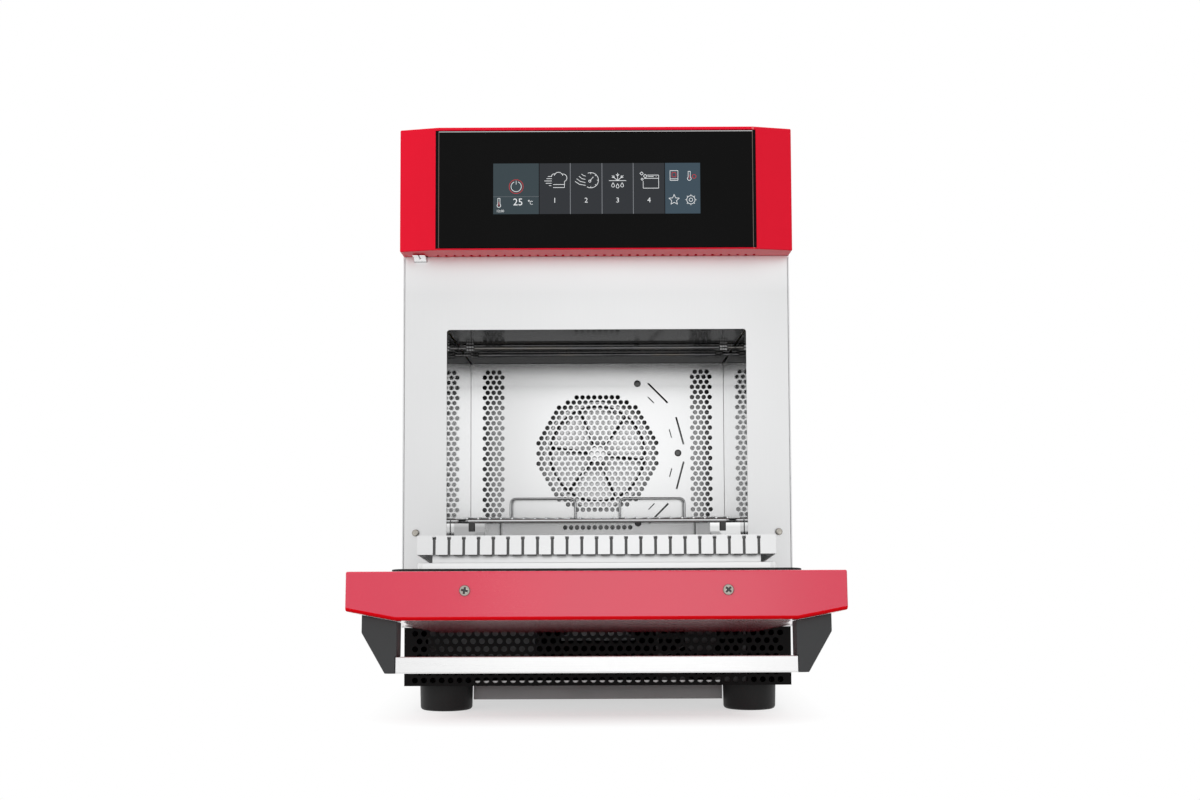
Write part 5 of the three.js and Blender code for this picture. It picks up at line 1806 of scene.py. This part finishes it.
@dataclass
class Door(Assembly):
    """The drop-down door, drawn shut: shell, inner panel, gasket, liner, comb and handle."""

    body: str = "door"
    matrix: Matrix = field(default_factory=lambda: DOOR_TO_ROW)
    half: float = 200.0
    facet: float = 40.0
    bevel: float = 7.6
    y: Span = (-45.0, -6.0)
    z: Span = (100.0, 465.5)
    sheet: float = 1.5
    fold: float = 1.3
    hinge_x: Span = (159.25, 170.75)
    hinge_reach: float = -28.5
    hinge_top: float = 116.5
    screw_place: Point = (105.0, -21.5)
    screw_size: Point = (4.5, 2.4)
    screw_sink: float = 0.5
    recess: Point = (0.8, 2.6)
    liner_x: float = 151.7
    liner_z: Span = (170.6, 386.7)
    liner_y: Span = (-5.7, 6.0)
    comb_face: float = 29.0
    finger_end: float = 12.8
    comb_x: float = 152.0
    comb_z: Span = (170.3, 387.0)
    comb_pitch: float = 12.5
    relief: float = 3.2
    relief_reach: float = 1.9
    slot_half: float = 1.5
    finger_x: Span = (3.8, 11.6)
    bar_y: Span = (-86.5, -73.3)
    bar_z: Span = (430.5, 458.5)
    bar_half: float = 160.2
    low_fold: float = 3.2
    fold_slope: float = 0.08

    def build(self) -> None:
        """Builds the door."""
        self.shell()
        self.refine("door_inner_panel", DOOR_PANEL, 0.35)
        self.refine("door_gasket", RUBBER, 1.6, 3)
        self.liner()
        self.comb()
        self.handle()
        for side, label in SIDES:
            self.screw(side, label)
            self.refine(f"hinge_strap_{label}", GREY_STEEL, 0.5)

    def outline(self, inset: float) -> list[Point]:
        """The shut door seen from above, drawn in by an inset."""
        half, fold, (face, back) = self.half - inset, self.half - self.facet, self.y
        shoulder = face + self.bevel + inset
        return both_halves([(-half, back), (-half, shoulder), (-fold, face + inset)])

    def shell(self) -> None:
        """The folded outer shell, open towards the oven."""
        shell = Shape().prism(Axis.Z, self.z, self.outline(0))
        front, top = self.y[0] + self.bevel + 0.01, self.z[1] - 0.01
        low = [
            edge for edge in shell.bm.edges
            if all(vert.co.z > top and vert.co.y < front for vert in edge.verts)
        ]
        shell.bevel(low, self.low_fold, 12).soften(self.fold, 3, 8.0)
        inner, back = (self.z[0] + self.sheet, self.z[1] - self.sheet), self.y[1] + 2
        hollow = Shape().prism(Axis.Z, inner, self.outline(self.sheet))
        mouth = Shape().box(about(0, self.half - self.sheet), (self.y[1] - 3, back), inner)
        depth, height = (self.hinge_reach, back), (self.z[0] - 2, self.hinge_top)
        notches = [Shape().box(facing(side, *self.hinge_x), depth, height) for side, _ in SIDES]
        cut = shell.cut(hollow, mouth, *notches)
        piece = self.add(cut, "door_shell_folded", RED_DOOR, "door_outer_shell", smooth=25.0)
        # The rounded fold between top edge and front takes a matt red without sheen: painted shade.
        piece.data.materials.append(RED_FOLD_SHADE.material())
        shut = self.matrix.to_3x3().inverted()
        for face in piece.data.polygons:
            way = (shut @ face.normal).normalized()
            face.material_index = int(way.z > self.fold_slope and way.y < -self.fold_slope)

    def screw(self, side: int, label: str) -> None:
        """A pan-head screw in the top edge, with a dark floor of painted shade in its recess."""
        x, y = side * self.screw_place[0], self.screw_place[1]
        turn = Matrix.Rotation(0.5 * side + 0.3, 4, "Z")
        seat = Matrix.Translation((x, y, self.z[1] - self.screw_sink)) @ turn
        head = Shape().add(pan_screw(*self.screw_size), seat)
        self.add(head, f"door_screw_{label}_pan", SCREW, f"door_screw_{label}")
        # Near-black bars under the cross of the head: painted shade in the recess.
        blade, reach = (about(0, half) for half in self.recess)
        floor = Shape().box(blade, reach, (0.1, 0.7)).box(reach, blade, (0.1, 0.65))
        self.add(Shape().add(floor, seat), f"door_screw_{label}_recess", SHADE_BLACK)

    def liner(self) -> None:
        """The raised liner plate with round corners."""
        plate = Shape().box(about(0, self.liner_x), self.liner_y, self.liner_z)
        plate.soften(5.0, 5, 30.0, Axis.Y).soften(0.8, 2)
        self.add(plate, "door_liner_rounded", LINER, "door_liner")

    def comb(self) -> None:
        """The choke comb, with a small relief at the root of each slot."""
        comb = Shape.of_node("choke_comb").turn(DOOR_TO_ROW.inverted() @ TO_ROW)
        reliefs = Shape()
        depth, half = (self.comb_face - 3.4, self.comb_face - 1.0), self.relief / 2
        middle, reach = sum(self.comb_z) / 2, self.relief_reach
        for place in self.slots(2 * self.comb_x):
            for z in self.comb_z:
                reliefs.box(about(place, half), depth, about(z, reach))
        for place in self.slots(self.comb_z[1] - self.comb_z[0]):
            for x in (-self.comb_x, self.comb_x):
                reliefs.box(about(x, reach), depth, about(middle + place, half))
        self.add(comb.cut(reliefs), "choke_comb_pressed", COMB, "choke_comb")
        self.painted_shadow_strips()

    def painted_shadow_strips(self) -> None:
        """Near-black strips of painted shade behind the comb's free side, seen through its slots
        and below its fingers.
        """
        inner, end = self.comb_z[1] - self.sheet, self.finger_end
        height, painted_shadow_strips = (inner - 0.4, inner + 0.1), Shape()
        for place in self.slots(2 * self.comb_x):
            finger = (place + self.finger_x[0], place + self.finger_x[1])
            painted_shadow_strips.box(about(place, self.slot_half), (end + 0.2, self.comb_face - 2.4), height)
            painted_shadow_strips.box(finger, (end - 1.0, end + 0.6), height)
        self.add(painted_shadow_strips, "choke_comb_shade", COMB_SHADE)

    def slots(self, length: float) -> list[float]:
        """The places of the slots along a side of the comb."""
        reach = int((length / 2 - self.comb_pitch) / self.comb_pitch)
        return [number * self.comb_pitch for number in range(-reach, reach + 1)]

    def handle(self) -> None:
        """The brushed bar between its two brackets."""
        bar = Shape().box(about(0, self.bar_half), self.bar_y, self.bar_z)
        bar.soften(1.2, 4, 30.0, Axis.X).soften(0.4, 1)
        self.add(bar, "handle_bar_brushed", BAR, "handle_bar")
        for _, label in SIDES:
            self.refine(f"handle_bracket_{label}", PLASTIC, 1.0, 3)


# The studio


@dataclass
class Studio:
    """Floor, lights, world and camera."""

    eye: Place = (0.0034, -1.7978, 0.1924)
    pitch: float = 0.0744
    roll: float = -0.0040
    lens: float = 49.54
    sensor: float = 36.0
    clip: Span = (0.05, 60.0)
    floor_reach: float = 14.0
    footprint: tuple[Place, Place] = ((0.0, 0.18, 0.0), (0.135, 0.3, 0.0))
    fade: float = 0.1
    floor_grey: float = 0.42
    floor_glow: float = 0.6
    world_fill: float = 0.62
    aim: Place = (0.0, 0.0, 0.3)
    lamps: tuple[tuple[str, Place, float, float, bool], ...] = (
        ("key", (-2.1, -2.7, 1.3), 2.4, 42.0, False),
        ("fill", (2.0, -2.6, 1.5), 2.4, 12.0, False),
        ("top", (0.0, 0.1, 2.8), 3.0, 20.0, False),
        ("front", (0.1, -3.6, 0.55), 0.8, 1.8, True),
    )

    def build(self) -> None:
        """Builds the studio."""
        self.floor()
        self.world()
        for lamp in self.lamps:
            self.lamp(*lamp)
        self.camera()

    def seen(self, graph: Graph) -> Wire:
        """One for the rays that show the background: camera, glossy and transmission rays."""
        rays = ("Is Camera Ray", "Is Glossy Ray", "Is Transmission Ray")
        camera, glossy, through = (graph.node("ShaderNodeLightPath", output=ray) for ray in rays)
        return (camera + glossy + through).at_most(1.0)

    def floor(self) -> None:
        """A pale floor that keeps the shadow near the oven and fades to white beyond."""
        bm = bmesh.new()
        bmesh.ops.create_grid(bm, x_segments=1, y_segments=1, size=self.floor_reach)
        mesh = bpy.data.meshes.new("floor")
        bm.to_mesh(mesh)
        bm.free()
        floor = linked("floor", mesh)
        graph = Graph(bpy.data.materials.new("floor"))
        here = graph.node("ShaderNodeTexCoord", output="Object")
        middle, reach = self.footprint
        zero, operations = (0, 0, 0), ("SUBTRACT", "ABSOLUTE", "SUBTRACT", "MAXIMUM")
        for operation, value in zip(operations, (middle, zero, reach, zero)):
            here = graph.node("ShaderNodeVectorMath", {"operation": operation}, {0: here, 1: value})
        way_off = graph.node("ShaderNodeVectorMath", {"operation": "LENGTH"}, {0: here}, "Value")
        far = (way_off / self.fade).at_most(1.0)
        seen = self.seen(graph)
        skin = graph.node("ShaderNodeBsdfDiffuse", inputs={"Color": (*[self.floor_grey] * 3, 1)})
        lift = seen * self.floor_glow
        glow = graph.node("ShaderNodeEmission", inputs={"Color": WHITE, "Strength": lift})
        near = graph.node("ShaderNodeAddShader", inputs={0: skin, 1: glow})
        white = graph.node("ShaderNodeEmission", inputs={"Color": WHITE, "Strength": 1.0})
        shader = graph.node("ShaderNodeMixShader", inputs={0: far * seen, 1: near, 2: white})
        graph.node("ShaderNodeOutputMaterial", inputs={"Surface": shader})
        mesh.materials.append(graph.owner)
        LOG.info("floor")

    def world(self) -> None:
        """A white background over a softer fill."""
        graph = Graph(bpy.data.worlds.new("studio"))
        strength = self.world_fill + self.seen(graph) * (1.0 - self.world_fill)
        shader = graph.node("ShaderNodeBackground", inputs={"Color": WHITE, "Strength": strength})
        graph.node("ShaderNodeOutputWorld", inputs={"Surface": shader})
        bpy.context.scene.world = graph.owner

    def lamp(self, name: str, place: Place, size: float, power: float, glossy: bool) -> None:
        """A soft square lamp that faces the oven.

        Args:
            name: the lamp's name.
            place: where it hangs.
            size: the length of its side.
            power: its power in watts.
            glossy: whether it shows in shiny surfaces.
        """
        light = bpy.data.lights.new(name, "AREA")
        light.shape, light.size, light.energy = "SQUARE", size, power
        lamp = linked(name, light)
        aim = Vector(self.aim) - Vector(place)
        lamp.location, lamp.rotation_euler = place, aim.to_track_quat("-Z", "Y").to_euler()
        lamp.visible_glossy = glossy
        LOG.info("lamp %s", name)

    def camera(self) -> None:
        """The camera at the photograph's angle."""
        data = bpy.data.cameras.new("camera")
        data.lens, data.sensor_width = self.lens, self.sensor
        data.clip_start, data.clip_end = self.clip
        camera = linked("camera", data)
        tilt = Matrix.Rotation(math.pi / 2 + self.pitch, 4, "X")
        turn = tilt @ Matrix.Rotation(self.roll, 4, "Z")
        camera.matrix_world = Matrix.Translation(self.eye) @ turn
        bpy.context.scene.camera = camera


OVEN = (
    Base, AirFilter, Cabinet, FrontSheet, SwitchPlunger, Hood, Screen,
    Cavity, Rack, FanWheel, Machinery, Stirrer, CoolingRotor, Door,
)


def main() -> None:
    """Builds the studio and every sub-assembly in order."""
    logging.basicConfig(level=logging.INFO, format="%(name)s: %(message)s")
    bpy.context.scene.view_settings.view_transform = "Standard"
    Studio().build()
    for kind in OVEN:
        kind().build()
        LOG.info("%s is built", kind.__name__)


if __name__ == "__main__":
    main()
